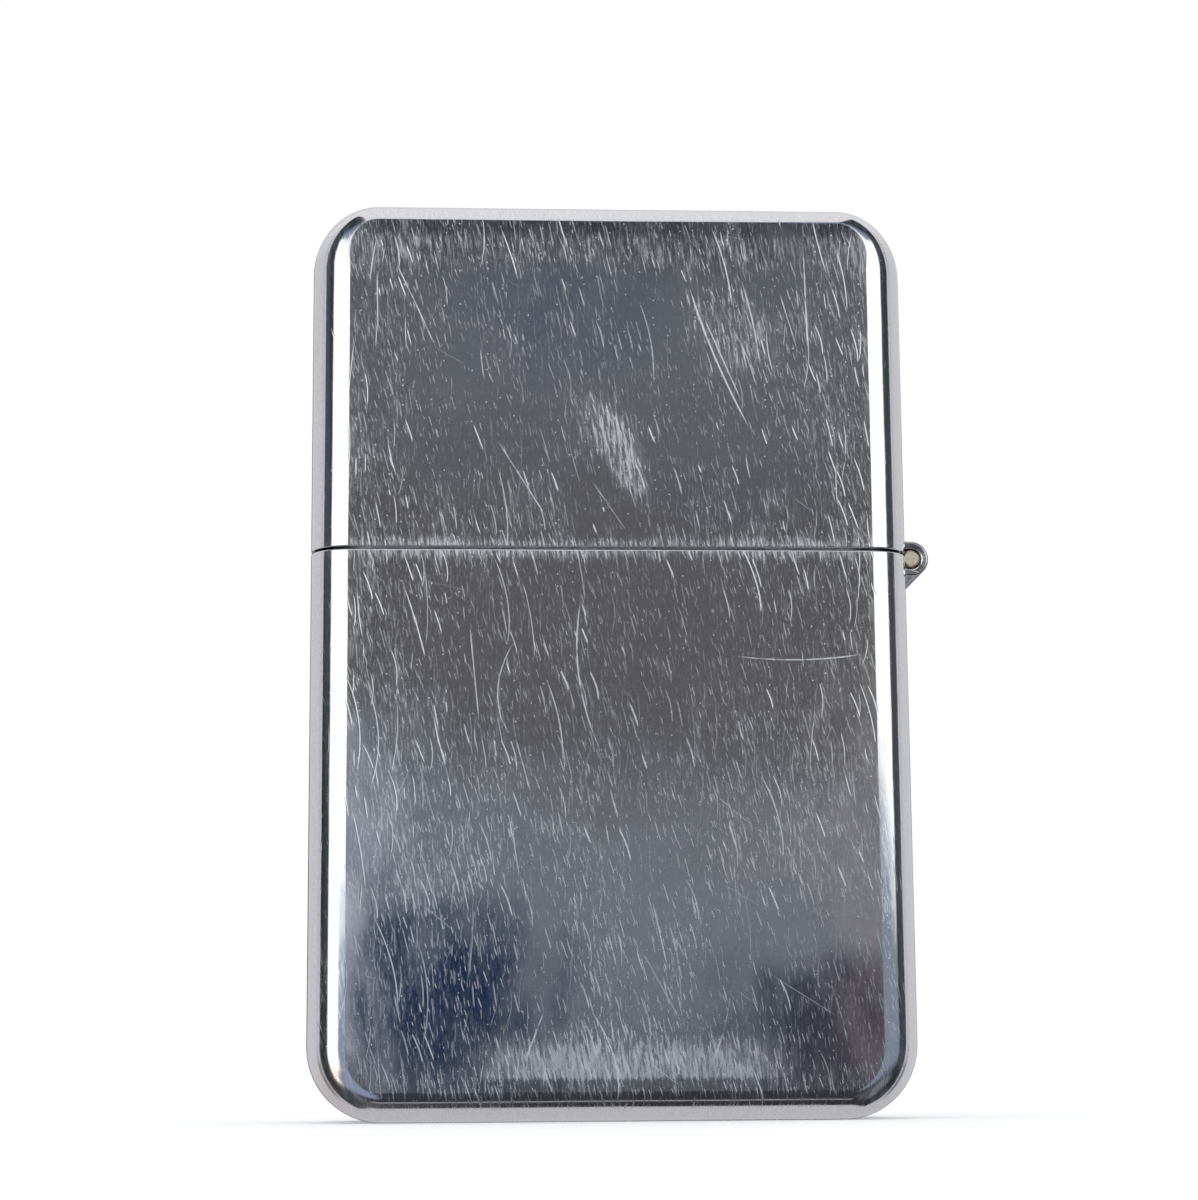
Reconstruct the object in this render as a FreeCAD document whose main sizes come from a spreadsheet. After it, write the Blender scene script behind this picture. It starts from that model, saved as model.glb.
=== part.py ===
import FreeCAD, Part
import Sketcher
import math
import os

# Flip-top petrol lighter, closed.
# Millimetres.  +Z up, +X towards the hinge, -Y the broad front face.
# Origin: middle of the flat rim the case stands on.

doc = FreeCAD.newDocument("Lighter")
sheet = doc.addObject("Spreadsheet::Sheet", "Dims")

TABLE = [
    # outside of the closed lighter
    ("case_width", 37.3, "broad face, left to right, hinge not counted"),
    ("case_depth", 13.0, "front face to back face"),
    ("case_height", 57.0, "base to top of the lid"),
    ("shell_wall", 0.65, "sheet thickness of case and lid"),
    ("rim_height", 34.85, "top rim of the case"),
    ("seam_gap", 0.15, "gap between case rim and lid rim"),
    ("corner_top", 4.1, "lid corner radius seen from the front"),
    ("corner_low", 4.6, "case corner radius seen from the front"),
    ("edge_upright", 2.4, "rounding of the upright edges"),
    ("edge_top", 1.1, "rounding of the lid's top edges"),
    ("edge_low", 1.8, "rounding of the case's bottom edges"),
    ("base_recess", 0.5, "depth of the hollow in the base"),
    ("base_recess_half_x", 12.9, "half length of that hollow"),
    ("base_recess_half_y", 3.9, "half width of that hollow"),
    ("base_recess_round", 2.2, "corner radius of that hollow"),
    # hinge
    ("axis_x", 19.1, "hinge axis"),
    ("axis_z", 34.8, "hinge axis"),
    ("knuckle_out", 1.12, "outer radius of the barrel"),
    ("knuckle_bore", 0.59, "bore radius of the barrel"),
    ("pin_rad", 0.56, "hinge pin radius"),
    ("pin_len", 8.0, "hinge pin length"),
    ("knuckle_len", 1.5, "length of one knuckle"),
    ("knuckle_pitch", 1.6, "knuckle spacing along the pin"),
    ("leaf_thick", 0.45, "hinge leaf thickness"),
    ("leaf_curl", 0.53, "thickness of the strap that curls into a knuckle"),
    ("lid_leaf_top", 42.4, "upper end of the lid leaf"),
    ("case_leaf_low", 27.4, "lower end of the case leaf"),
    ("notch_side", 0.3, "free play at each end of the barrel"),
    ("notch_clear", 0.1, "notch clearance over the barrel radius"),
    # insert
    ("insert_left", 17.7, "insert shell, distance of its left face from the middle"),
    ("insert_right", 17.3, "insert shell, distance of its right face from the middle"),
    ("insert_depth", 11.3, "insert shell, front to back"),
    ("insert_low", 4.0, "open lower edge of the insert shell"),
    ("insert_top", 37.8, "top of the insert shoulder"),
    ("insert_wall", 0.4, "sheet thickness of the insert"),
    ("insert_round", 3.0, "upright corner radius of the insert"),
    ("shoulder_round", 0.8, "rounding of the insert's shoulder"),
    ("flange_left", 16.15, "opening in the insert's top"),
    ("flange_right", 15.75, "opening in the insert's top"),
    ("flange_half", 4.45, "opening in the insert's top"),
    ("plate_thick", 0.45, "top plate thickness"),
    ("plate_gap", 0.05, "play between top plate and shell wall"),
    # chimney
    ("chimney_half", 4.2, "outside half width of the chimney"),
    ("chimney_wall", 0.4, "chimney sheet thickness"),
    ("chimney_end", 9.5, "closed round end of the chimney"),
    ("chimney_top", 52.2, "upper edge of the chimney"),
    ("chimney_cut", 4.2, "where the full height ends, towards the wheel"),
    ("ear_step", 6.2, "foot of the slope towards the wheel"),
    ("ear_rad", 2.7, "ear radius round the wheel rivet"),
    ("vent_rad", 1.1, "vent hole radius"),
    ("vent_pitch", 3.5, "vent hole spacing along X"),
    ("vent_row", 3.3, "vent row spacing along Z"),
    ("vent_first_x", -0.1, "first vent of the full rows"),
    ("vent_first_z", 41.6, "lowest vent row"),
    # wheel and its rivet
    ("wheel_x", -9.5, "wheel axis"),
    ("wheel_z", 45.6, "wheel axis"),
    ("wheel_rad", 3.9, "wheel radius over the teeth"),
    ("wheel_len", 6.0, "toothed width"),
    ("tooth_depth", 0.42, "tooth depth"),
    ("tooth_half", 0.34, "half width of a tooth gap at the rim"),
    ("hub_rad", 1.9, "side boss radius"),
    ("hub_len", 7.1, "width over the bosses"),
    ("wheel_bore", 0.86, "wheel bore radius"),
    ("rivet_rad", 0.8, "wheel rivet radius"),
    ("rivet_hole", 0.82, "hole for it in the ears"),
    ("rivet_head", 1.45, "rivet head radius"),
    ("rivet_head_len", 0.4, "rivet head height"),
    ("rivet_dimple", 0.45, "radius of the hollow in the rivet ends"),
    # flint train
    ("tube_out", 1.8, "flint tube outer radius"),
    ("tube_in", 1.35, "flint tube bore radius"),
    ("tube_low", 5.55, "lower end of the tube"),
    ("tube_top", 41.0, "upper end of the tube"),
    ("flint_rad", 1.25, "flint radius"),
    ("flint_low", 37.0, "flint lower end"),
    ("flint_top", 41.6, "flint upper end"),
    ("pusher_rad", 1.15, "pusher head radius"),
    ("pusher_len", 1.6, "pusher head height"),
    ("pusher_stem", 0.5, "pusher stem radius"),
    ("pusher_stem_len", 2.6, "pusher stem length"),
    ("coil_mean", 0.92, "flint spring mean radius"),
    ("coil_wire", 0.2, "flint spring wire radius"),
    ("coil_pitch", 1.3, "flint spring pitch"),
    ("coil_low", 9.6, "lower end of the flint spring"),
    ("screw_head", 2.5, "flint screw head radius"),
    ("screw_low", 4.2, "underside of the screw head"),
    ("screw_head_len", 1.3, "height of the screw head"),
    ("screw_shank", 1.3, "flint screw shank radius"),
    ("screw_shank_top", 9.4, "upper end of the shank"),
    ("slot_half", 0.4, "half width of the screwdriver slot"),
    ("slot_deep", 0.6, "depth of the screwdriver slot"),
    # lid cam
    ("cam_x", 13.65, "cam pivot"),
    ("cam_z", 38.8, "cam pivot"),
    ("cam_hub", 1.3, "cam hub radius"),
    ("cam_tip", 1.0, "cam nose radius"),
    ("cam_arm", 5.2, "pivot to nose centre"),
    ("cam_lean", 25.0, "lean of the arm towards the hinge, lid closed"),
    ("cam_thick", 3.2, "cam width along Y"),
    ("cam_bore", 0.65, "cam bore radius"),
    ("cam_pin", 0.6, "cam rivet radius"),
    ("cam_pin_head", 1.05, "cam rivet head radius"),
    ("cam_pin_head_len", 0.3, "cam rivet head height"),
    ("lug_in", 1.9, "inner face of the cam lugs"),
    ("lug_out", 2.35, "outer face of the cam lugs"),
    ("lug_rad", 1.6, "lug radius"),
    ("leaf_root", 4.3, "cam spring, fixed end"),
    ("leaf_bend", 7.0, "cam spring, where it leaves the plate"),
    ("leaf_tip", 12.5, "cam spring, free end"),
    ("leaf_rise", 0.35, "cam spring, lift of the free end"),
    ("leaf_spring", 0.25, "cam spring thickness"),
    ("leaf_wide", 2.4, "cam spring width"),
    ("leaf_rivet_x", 5.6, "cam spring rivet"),
    ("leaf_rivet", 0.6, "cam spring rivet radius"),
    ("leaf_rivet_head", 1.1, "cam spring rivet head radius"),
    ("leaf_rivet_head_len", 0.4, "cam spring rivet head height"),
    # wick, packing, felt
    ("wick_rad", 1.3, "wick radius"),
    ("wick_x", -2.4, "wick in the chimney"),
    ("wick_top", 50.2, "top of the wick"),
    ("wick_knee", 30.8, "first bend of the wick"),
    ("wick_far", 11.0, "wick's far side in the packing"),
    ("wick_far_high", 24.5, "second bend"),
    ("wick_far_low", 15.5, "third bend"),
    ("wick_end_x", 1.5, "wick's lower end"),
    ("wick_end_z", 8.8, "wick's lower end"),
    ("wick_hole", 1.5, "hole for the wick in the top plate"),
    ("wick_tunnel", 1.42, "way of the wick through the packing"),
    ("pack_side", 0.15, "play between packing and shell"),
    ("pack_low", 6.8, "underside of the packing"),
    ("pack_top", 36.4, "top of the packing"),
    ("pack_split", 0.12, "parting between two lumps"),
    ("felt_low", 4.35, "underside of the felt"),
    ("felt_top", 6.6, "top of the felt"),
    ("felt_hole", 3.0, "hole for the flint screw in the felt"),
]


class Q:
    """A size that carries its number and its spreadsheet expression."""

    def __init__(self, v, t):
        self.v = float(v)
        self.t = t

    @staticmethod
    def of(o):
        return o if isinstance(o, Q) else Q(o, "%.8g" % o)

    def __add__(self, o):
        o = Q.of(o)
        return Q(self.v + o.v, "(%s + %s)" % (self.t, o.t))

    __radd__ = __add__

    def __sub__(self, o):
        o = Q.of(o)
        return Q(self.v - o.v, "(%s - %s)" % (self.t, o.t))

    def __rsub__(self, o):
        return Q.of(o) - self

    def __mul__(self, o):
        o = Q.of(o)
        return Q(self.v * o.v, "(%s * %s)" % (self.t, o.t))

    __rmul__ = __mul__

    def __truediv__(self, o):
        o = Q.of(o)
        return Q(self.v / o.v, "(%s / %s)" % (self.t, o.t))

    def __neg__(self):
        return Q(-self.v, "(0 - %s)" % self.t)


class Sizes:
    pass


D = Sizes()
for row, (alias, value, note) in enumerate(TABLE, start=1):
    sheet.set("A%d" % row, alias)
    sheet.set("B%d" % row, "%.6g" % value)
    sheet.setAlias("B%d" % row, alias)
    sheet.set("C%d" % row, note)
    setattr(D, alias, Q(value, "Dims." + alias))
doc.recompute()

V = FreeCAD.Vector


def bind(obj, prop, q):
    q = Q.of(q)
    obj.setExpression(prop, q.t)


def place(obj, x=0.0, y=0.0, z=0.0, rot=None):
    x, y, z = Q.of(x), Q.of(y), Q.of(z)
    obj.Placement = FreeCAD.Placement(V(x.v, y.v, z.v), rot or FreeCAD.Rotation())
    for key, q in (("x", x), ("y", y), ("z", z)):
        if "Dims" in q.t:
            obj.setExpression("Placement.Base." + key, q.t)
    return obj


def box(name, x0, x1, y0, y1, z0, z1):
    o = doc.addObject("Part::Box", name)
    bind(o, "Length", Q.of(x1) - x0)
    bind(o, "Width", Q.of(y1) - y0)
    bind(o, "Height", Q.of(z1) - z0)
    return place(o, x0, y0, z0)


ALONG_Y = FreeCAD.Rotation(V(1, 0, 0), -90)


def cyl(name, r, length, x, y, z, along="Z"):
    o = doc.addObject("Part::Cylinder", name)
    bind(o, "Radius", r)
    bind(o, "Height", length)
    return place(o, x, y, z, ALONG_Y if along == "Y" else None)


def fuse(name, parts):
    o = doc.addObject("Part::MultiFuse", name)
    o.Shapes = parts
    o.Refine = True
    return o


def cut(name, base, tools):
    o = doc.addObject("Part::Cut", name)
    o.Base = base
    o.Tool = tools[0] if len(tools) == 1 else fuse(name + "_tools", tools)
    o.Refine = True
    return o


def common(name, a, b):
    o = doc.addObject("Part::Common", name)
    o.Base = a
    o.Tool = b
    return o


def new_body(name):
    return doc.addObject("PartDesign::Body", name)


def new_sketch(body, role, name, lift=0.0):
    sk = body.newObject("Sketcher::SketchObject", name)
    plane = [f for f in body.Origin.OriginFeatures if f.Role == role][0]
    sk.AttachmentSupport = [(plane, "")]
    sk.MapMode = "FlatFace"
    if Q.of(lift).v or isinstance(lift, Q):
        bind(sk, "AttachmentOffset.Base.z", lift)
    return sk


def fix_point(sk, geo, pos, x, y):
    """Hold one point of the sketch at (x, y), both bound to the sheet."""
    for kind, q, axis in (("DistanceX", Q.of(x), -2), ("DistanceY", Q.of(y), -1)):
        if "Dims" not in q.t and abs(q.v) < 1e-9:
            sk.addConstraint(Sketcher.Constraint("PointOnObject", geo, pos, axis))
            continue
        n = sk.addConstraint(Sketcher.Constraint(kind, -1, 1, geo, pos, q.v))
        if "Dims" in q.t:
            sk.setExpression("Constraints[%d]" % n, q.t)


def polygon(sk, points):
    pts = [(Q.of(x), Q.of(y)) for x, y in points]
    n = len(pts)
    for i in range(n):
        a, b = pts[i], pts[(i + 1) % n]
        sk.addGeometry(Part.LineSegment(V(a[0].v, a[1].v, 0), V(b[0].v, b[1].v, 0)))
    for i in range(n):
        sk.addConstraint(Sketcher.Constraint("Coincident", i, 2, (i + 1) % n, 1))
    for i in range(n):
        fix_point(sk, i, 1, pts[i][0], pts[i][1])


def rounded_rect(sk, half, y0, y1, r_low, r_high):
    """Rectangle x -half..half, y y0..y1 with round corners, every size bound."""
    half, y0, y1, r_low, r_high = map(Q.of, (half, y0, y1, r_low, r_high))
    h, a, b, p, q = half.v, y0.v, y1.v, r_low.v, r_high.v
    z = V(0, 0, 1)
    half_pi = math.pi / 2

    def arc(cx, cy, r, start):
        return Part.ArcOfCircle(Part.Circle(V(cx, cy, 0), z, r), start, start + half_pi)

    sk.addGeometry([
        Part.LineSegment(V(-h + p, a, 0), V(h - p, a, 0)),
        arc(h - p, a + p, p, -half_pi),
        Part.LineSegment(V(h, a + p, 0), V(h, b - q, 0)),
        arc(h - q, b - q, q, 0),
        Part.LineSegment(V(h - q, b, 0), V(-h + q, b, 0)),
        arc(-h + q, b - q, q, half_pi),
        Part.LineSegment(V(-h, b - q, 0), V(-h, a + p, 0)),
        arc(-h + p, a + p, p, math.pi),
    ], False)
    for i in range(8):
        sk.addConstraint(Sketcher.Constraint("Tangent", i, 2, (i + 1) % 8, 1))
    sk.addConstraint(Sketcher.Constraint("Horizontal", 0))
    sk.addConstraint(Sketcher.Constraint("Vertical", 2))
    sk.addConstraint(Sketcher.Constraint("Equal", 1, 7))
    sk.addConstraint(Sketcher.Constraint("Equal", 3, 5))
    for geo, val in ((1, r_low), (3, r_high)):
        n = sk.addConstraint(Sketcher.Constraint("Radius", geo, val.v))
        sk.setExpression("Constraints[%d]" % n, val.t)
    n = sk.addConstraint(Sketcher.Constraint("DistanceX", -1, 1, 2, 1, h))
    sk.setExpression("Constraints[%d]" % n, half.t)
    n = sk.addConstraint(Sketcher.Constraint("DistanceX", 6, 1, -1, 1, h))
    sk.setExpression("Constraints[%d]" % n, half.t)
    for geo, val in ((0, y0), (4, y1)):
        if abs(val.v) < 1e-9 and "Dims" not in val.t:
            sk.addConstraint(Sketcher.Constraint("PointOnObject", geo, 1, -1))
        else:
            n = sk.addConstraint(Sketcher.Constraint("DistanceY", -1, 1, geo, 1, val.v))
            sk.setExpression("Constraints[%d]" % n, val.t)


def circle(sk, x, y, r):
    x, y, r = Q.of(x), Q.of(y), Q.of(r)
    g = sk.addGeometry(Part.Circle(V(x.v, y.v, 0), V(0, 0, 1), r.v), False)
    n = sk.addConstraint(Sketcher.Constraint("Radius", g, r.v))
    sk.setExpression("Constraints[%d]" % n, r.t)
    fix_point(sk, g, 3, x, y)


def pad(body, sk, length, both=False, flip=False):
    f = body.newObject("PartDesign::Pad", sk.Name + "_pad")
    f.Profile = sk
    bind(f, "Length", length)
    f.SideType = "Symmetric" if both else "One side"
    f.Reversed = flip
    sk.Visibility = False
    return f


def pocket(body, sk, length, both=False, flip=False):
    f = body.newObject("PartDesign::Pocket", sk.Name + "_pocket")
    f.Profile = sk
    bind(f, "Length", length)
    f.SideType = "Symmetric" if both else "One side"
    f.Reversed = flip
    sk.Visibility = False
    return f


def turned(name, points, x=0.0, y=0.0, z=0.0, rot=None):
    """A turned piece: half profile (radius, height) swung round its own Z axis."""
    b = new_body(name)
    sk = new_sketch(b, "XZ_Plane", name + "_profile")
    polygon(sk, points)
    f = b.newObject("PartDesign::Revolution", name + "_turn")
    f.Profile = sk
    f.ReferenceAxis = (sk, ["V_Axis"])
    f.Angle = 360.0
    sk.Visibility = False
    place(b, x, y, z, rot)
    return b


nodes = {}


def keep(name, obj):
    obj.Label = name
    nodes[name] = obj
    return obj


# --------------------------------------------------------------------------
# Outer form and inner space of the closed lighter, case and lid in one piece.
# The front outline is a rectangle with round corners; the rims round the two
# broad faces have their own radii: upright edges, lid top and case bottom.

def rounded_block(name, half, depth, z0, z1, r_low, r_high, e_side, e_low, e_high):
    b = new_body(name + "_body")
    sk = new_sketch(b, "XZ_Plane", name + "_outline")
    rounded_rect(sk, half, 0.0, Q.of(z1) - z0, r_low, r_high)
    pad(b, sk, depth, both=True)
    place(b, 0.0, 0.0, z0)
    doc.recompute()
    f = doc.addObject("Part::Fillet", name)
    f.Base = b
    mid = (Q.of(z0).v + Q.of(z1).v) / 2
    w = Q.of(half).v
    s, lo, hi = Q.of(e_side).v, Q.of(e_low).v, Q.of(e_high).v

    def at(p):
        if abs(abs(p.x) - w) < 1e-6:
            return s
        return hi if p.z > mid else lo

    edges = []
    for i, e in enumerate(b.Shape.Edges, 1):
        bb = e.BoundBox
        if bb.YLength > 1e-6:
            continue
        if bb.XLength < 1e-6:
            edges.append((i, s, s))
        elif bb.ZLength < 1e-6:
            r = hi if e.CenterOfMass.z > mid else lo
            edges.append((i, r, r))
        else:
            edges.append((i, at(e.valueAt(e.FirstParameter)), at(e.valueAt(e.LastParameter))))
    f.Edges = edges
    return f


half_w = D.case_width / 2
half_in = half_w - D.shell_wall
floor_z = D.base_recess + D.shell_wall
ceil_z = D.case_height - D.shell_wall

outer = rounded_block("outer_form", half_w, D.case_depth, 0.0, D.case_height,
                      D.corner_low, D.corner_top, D.edge_upright, D.edge_low, D.edge_top)
inner = rounded_block("inner_form", half_in, D.case_depth - 2 * D.shell_wall, floor_z, ceil_z,
                      D.corner_low - D.shell_wall, D.corner_top - D.shell_wall,
                      D.edge_upright - D.shell_wall, D.edge_low - D.shell_wall, D.edge_top - D.shell_wall)

lid_low = D.rim_height + D.seam_gap
barrel_half = 2 * D.knuckle_pitch + D.knuckle_len / 2
notch_half = barrel_half + D.notch_side
notch_rad = D.knuckle_out + D.notch_clear

# case: lower part of the form, hollow, notched for the hinge barrel
case_zone = box("case_zone", -half_w - 2, half_w + 2, -D.case_depth, D.case_depth, -1.0, D.rim_height)
case_block = common("case_block", outer, case_zone)
case_notch = box("case_notch", half_in - 1.0, half_w + 1.0, -notch_half, notch_half,
                 D.axis_z - notch_rad, D.rim_height + 1.0)
recess = new_body("base_recess_cutter")
recess_sketch = new_sketch(recess, "XY_Plane", "base_recess_outline")
rounded_rect(recess_sketch, D.base_recess_half_x, -D.base_recess_half_y, D.base_recess_half_y,
             D.base_recess_round, D.base_recess_round)
pad(recess, recess_sketch, D.base_recess + 1.0)
place(recess, 0.0, 0.0, -1.0)
case_hollow = cut("case_hollow", case_block, [inner])
case_shell = keep("case_shell", cut("case_shell", case_hollow, [case_notch, recess]))

# lid: upper part of the same form
lid_zone = box("lid_zone", -half_w - 2, half_w + 2, -D.case_depth, D.case_depth, lid_low, D.case_height + 1.0)
lid_block = common("lid_block", outer, lid_zone)
lid_notch = box("lid_notch", half_in - 1.0, half_w + 1.0, -notch_half, notch_half,
                D.rim_height - 1.0, D.axis_z + notch_rad)
lid_hollow = cut("lid_hollow", lid_block, [inner])
lid_shell = keep("lid_shell", cut("lid_shell", lid_hollow, [lid_notch]))

# --------------------------------------------------------------------------
# Hinge: five knuckles on one pin, three rolled from the lid leaf and two from
# the case leaf.  Each leaf lies against the inside of the end wall.

leaf_out = half_in
leaf_in = half_in - D.leaf_thick


def hinge_leaf(name, rows, up):
    parts = []
    if up:
        plate = box(name + "_plate", leaf_in, leaf_out, -barrel_half, barrel_half,
                    D.axis_z + notch_rad, D.lid_leaf_top)
    else:
        plate = box(name + "_plate", leaf_in, leaf_out, -barrel_half, barrel_half,
                    D.case_leaf_low, D.axis_z - notch_rad)
    parts.append(plate)
    bores = []
    for row in rows:
        y0 = row * D.knuckle_pitch - D.knuckle_len / 2
        tag = "%s_%d" % (name, row + 3)
        parts.append(cyl(tag + "_roll", D.knuckle_out, D.knuckle_len, D.axis_x, y0, D.axis_z, "Y"))
        if up:
            parts.append(box(tag + "_strap", leaf_in, D.axis_x, y0, y0 + D.knuckle_len,
                             D.axis_z + D.knuckle_out - D.leaf_curl, D.axis_z + D.knuckle_out))
            parts.append(box(tag + "_neck", leaf_in, leaf_out, y0, y0 + D.knuckle_len,
                             D.axis_z + D.knuckle_out - D.leaf_curl, D.axis_z + notch_rad + 0.2))
        else:
            parts.append(box(tag + "_strap", leaf_in, D.axis_x, y0, y0 + D.knuckle_len,
                             D.axis_z - D.knuckle_out, D.axis_z - D.knuckle_out + D.leaf_curl))
            parts.append(box(tag + "_neck", leaf_in, leaf_out, y0, y0 + D.knuckle_len,
                             D.axis_z - notch_rad - 0.2, D.axis_z - D.knuckle_out + D.leaf_curl))
    solid = fuse(name + "_solid", parts)
    bore = cyl(name + "_bore", D.knuckle_bore, 2 * barrel_half + 2, D.axis_x, -barrel_half - 1, D.axis_z, "Y")
    return keep(name, cut(name, solid, [bore]))


hinge_leaf("lid_hinge_leaf", (-2, 0, 2), True)
hinge_leaf("case_hinge_leaf", (-1, 1), False)
keep("hinge_pin", turned("hinge_pin", [
    (0.0, 0.0), (D.pin_rad - 0.12, 0.0), (D.pin_rad, 0.12),
    (D.pin_rad, D.pin_len - 0.12), (D.pin_rad - 0.12, D.pin_len), (0.0, D.pin_len),
], D.axis_x, -D.pin_len / 2, D.axis_z, ALONG_Y))

# --------------------------------------------------------------------------
# Insert shell: open below, turned inwards at the top to hold the top plate.

ins_half = (D.insert_left + D.insert_right) / 2
ins_mid = (D.insert_right - D.insert_left) / 2
half_d = D.insert_depth / 2
ins_h = D.insert_top - D.insert_low

shell = new_body("insert_body")
s1 = new_sketch(shell, "XY_Plane", "insert_outline")
rounded_rect(s1, ins_half, -half_d, half_d, D.insert_round, D.insert_round)
p1 = pad(shell, s1, ins_h)
doc.recompute()
top_edges = ["Edge%d" % (i + 1) for i, e in enumerate(p1.Shape.Edges)
             if abs(e.BoundBox.ZMin - ins_h.v) < 1e-6]
shoulder = shell.newObject("PartDesign::Fillet", "insert_shoulder")
shoulder.Base = (p1, top_edges)
bind(shoulder, "Radius", D.shoulder_round)
s2 = new_sketch(shell, "XY_Plane", "insert_hollow")
rounded_rect(s2, ins_half - D.insert_wall, -half_d + D.insert_wall, half_d - D.insert_wall,
             D.insert_round - D.insert_wall, D.insert_round - D.insert_wall)
k2 = pocket(shell, s2, ins_h - D.insert_wall, flip=True)
s3 = new_sketch(shell, "XY_Plane", "insert_mouth")
rounded_rect(s3, (D.flange_left + D.flange_right) / 2, -D.flange_half, D.flange_half, 2.0, 2.0)
k3 = pocket(shell, s3, ins_h + 1, flip=True)
place(shell, ins_mid, 0.0, D.insert_low)
keep("insert_shell", shell)

# Top plate: held under the turned-in edge, with the two lugs of the cam, the
# holes for flint tube and wick, and the hole of the cam spring's rivet.
plate_top = D.insert_top - D.insert_wall
plate_low = plate_top - D.plate_thick
plate = new_body("plate_body")
s4 = new_sketch(plate, "XY_Plane", "plate_outline")
inset = D.insert_wall + D.plate_gap
rounded_rect(s4, ins_half - inset, -half_d + inset, half_d - inset,
             D.insert_round - inset, D.insert_round - inset)
pad(plate, s4, D.plate_thick)
place(plate, ins_mid, 0.0, plate_low)
lug_parts = [plate]
for side, tag in ((-1, "front"), (1, "back")):
    y0 = -D.lug_out if side < 0 else D.lug_in
    lug_parts.append(box("lug_" + tag, D.cam_x - D.lug_rad, D.cam_x + D.lug_rad, y0,
                         y0 + (D.lug_out - D.lug_in), plate_low, D.cam_z))
    lug_parts.append(cyl("lug_top_" + tag, D.lug_rad, D.lug_out - D.lug_in, D.cam_x, y0, D.cam_z, "Y"))
plate_solid = fuse("plate_solid", lug_parts)
keep("insert_top_plate", cut("insert_top_plate", plate_solid, [
    cyl("tube_hole", D.tube_out + 0.02, 2.0, D.wheel_x, 0.0, plate_low - 0.7),
    cyl("wick_way", D.wick_hole, 2.0, D.wick_x, 0.0, plate_low - 0.7),
    cyl("leaf_rivet_hole", D.leaf_rivet + 0.02, 2.0, D.leaf_rivet_x, 0.0, plate_low - 0.7),
    cyl("cam_rivet_hole", D.cam_pin + 0.02, 2 * D.lug_out + 2, D.cam_x, -D.lug_out - 1, D.cam_z, "Y"),
]))

# --------------------------------------------------------------------------
# Chimney: sheet bent round the wick, closed and round towards the hinge, its
# two sides running on as ears that carry the wheel.

def d_form(name, half, end, low, high, far):
    return fuse(name, [
        box(name + "_flat", -far, Q.of(end) - half, -half, half, low, high),
        cyl(name + "_round", half, Q.of(high) - low, Q.of(end) - half, 0.0, low),
    ])


ear_far = D.ear_rad - D.wheel_x
wrap_out = d_form("chimney_outside", D.chimney_half, D.chimney_end, plate_top, D.chimney_top, ear_far + 1)
wrap_in = d_form("chimney_inside", D.chimney_half - D.chimney_wall, D.chimney_end - D.chimney_wall,
                 plate_top - 1, D.chimney_top + 1, ear_far + 2)
wrap = cut("chimney_wrap", wrap_out, [wrap_in])
side = new_body("chimney_side")
s5 = new_sketch(side, "XZ_Plane", "chimney_side_outline")
polygon(s5, [
    (D.chimney_end + 1, plate_top - 0.5),
    (D.chimney_end + 1, D.chimney_top + 0.5),
    (-D.chimney_cut + 0.25, D.chimney_top + 0.5),
    (-D.ear_step, D.wheel_z + D.ear_rad),
    (D.wheel_x, D.wheel_z + D.ear_rad),
    (D.wheel_x, D.wheel_z),
    (D.wheel_x - D.ear_rad, D.wheel_z),
    (D.wheel_x - D.ear_rad, plate_top - 0.5),
])
pad(side, s5, 3 * D.chimney_half, both=True)
side_form = fuse("chimney_side_form", [
    side,
    cyl("ear_round", D.ear_rad, 3 * D.chimney_half, D.wheel_x, -1.5 * D.chimney_half, D.wheel_z, "Y"),
])
chimney_blank = common("chimney_blank", wrap, side_form)
vents = []
for row, (count, shift) in enumerate(((3, 0.0), (2, 0.5), (3, 0.0))):
    for i in range(count):
        vents.append(cyl("vent_%d_%d" % (row, i), D.vent_rad, 4 * D.chimney_half,
                         D.vent_first_x + (i + shift) * D.vent_pitch, -2 * D.chimney_half,
                         D.vent_first_z + row * D.vent_row, "Y"))
vents.append(cyl("ear_hole", D.rivet_hole, 4 * D.chimney_half, D.wheel_x, -2 * D.chimney_half, D.wheel_z, "Y"))
vents.append(box("spring_way", D.chimney_end - 1.5, D.chimney_end + 1, -D.leaf_wide / 2 - 0.3,
                 D.leaf_wide / 2 + 0.3, plate_top - 0.5, plate_top + 1.4))
keep("chimney", cut("chimney", chimney_blank, vents))

# --------------------------------------------------------------------------
# Striker wheel: teeth cut all round, a boss on each side, running on a rivet.

TEETH = 30
wheel = new_body("wheel_body")
s6 = new_sketch(wheel, "XZ_Plane", "wheel_disc")
circle(s6, 0.0, 0.0, D.wheel_rad)
pad(wheel, s6, D.wheel_len, both=True)
doc.recompute()
s7 = new_sketch(wheel, "XZ_Plane", "wheel_tooth")
polygon(s7, [
    (-D.tooth_half, D.wheel_rad + 0.3),
    (0.12, D.wheel_rad - D.tooth_depth),
    (D.tooth_half, D.wheel_rad + 0.3),
])
gap = pocket(wheel, s7, D.wheel_len + 1, both=True)
doc.recompute()
ring = wheel.newObject("PartDesign::PolarPattern", "wheel_teeth")
ring.Originals = [gap]
ring.Axis = (s6, ["N_Axis"])
ring.Angle = 360.0
ring.Occurrences = TEETH
wheel.Tip = ring
doc.recompute()
s8 = new_sketch(wheel, "XZ_Plane", "wheel_boss")
circle(s8, 0.0, 0.0, D.hub_rad)
pad(wheel, s8, D.hub_len, both=True)
s9 = new_sketch(wheel, "XZ_Plane", "wheel_bore_circle")
circle(s9, 0.0, 0.0, D.wheel_bore)
pocket(wheel, s9, D.hub_len + 1, both=True)
place(wheel, D.wheel_x, 0.0, D.wheel_z)
keep("flint_wheel", wheel)


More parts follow.
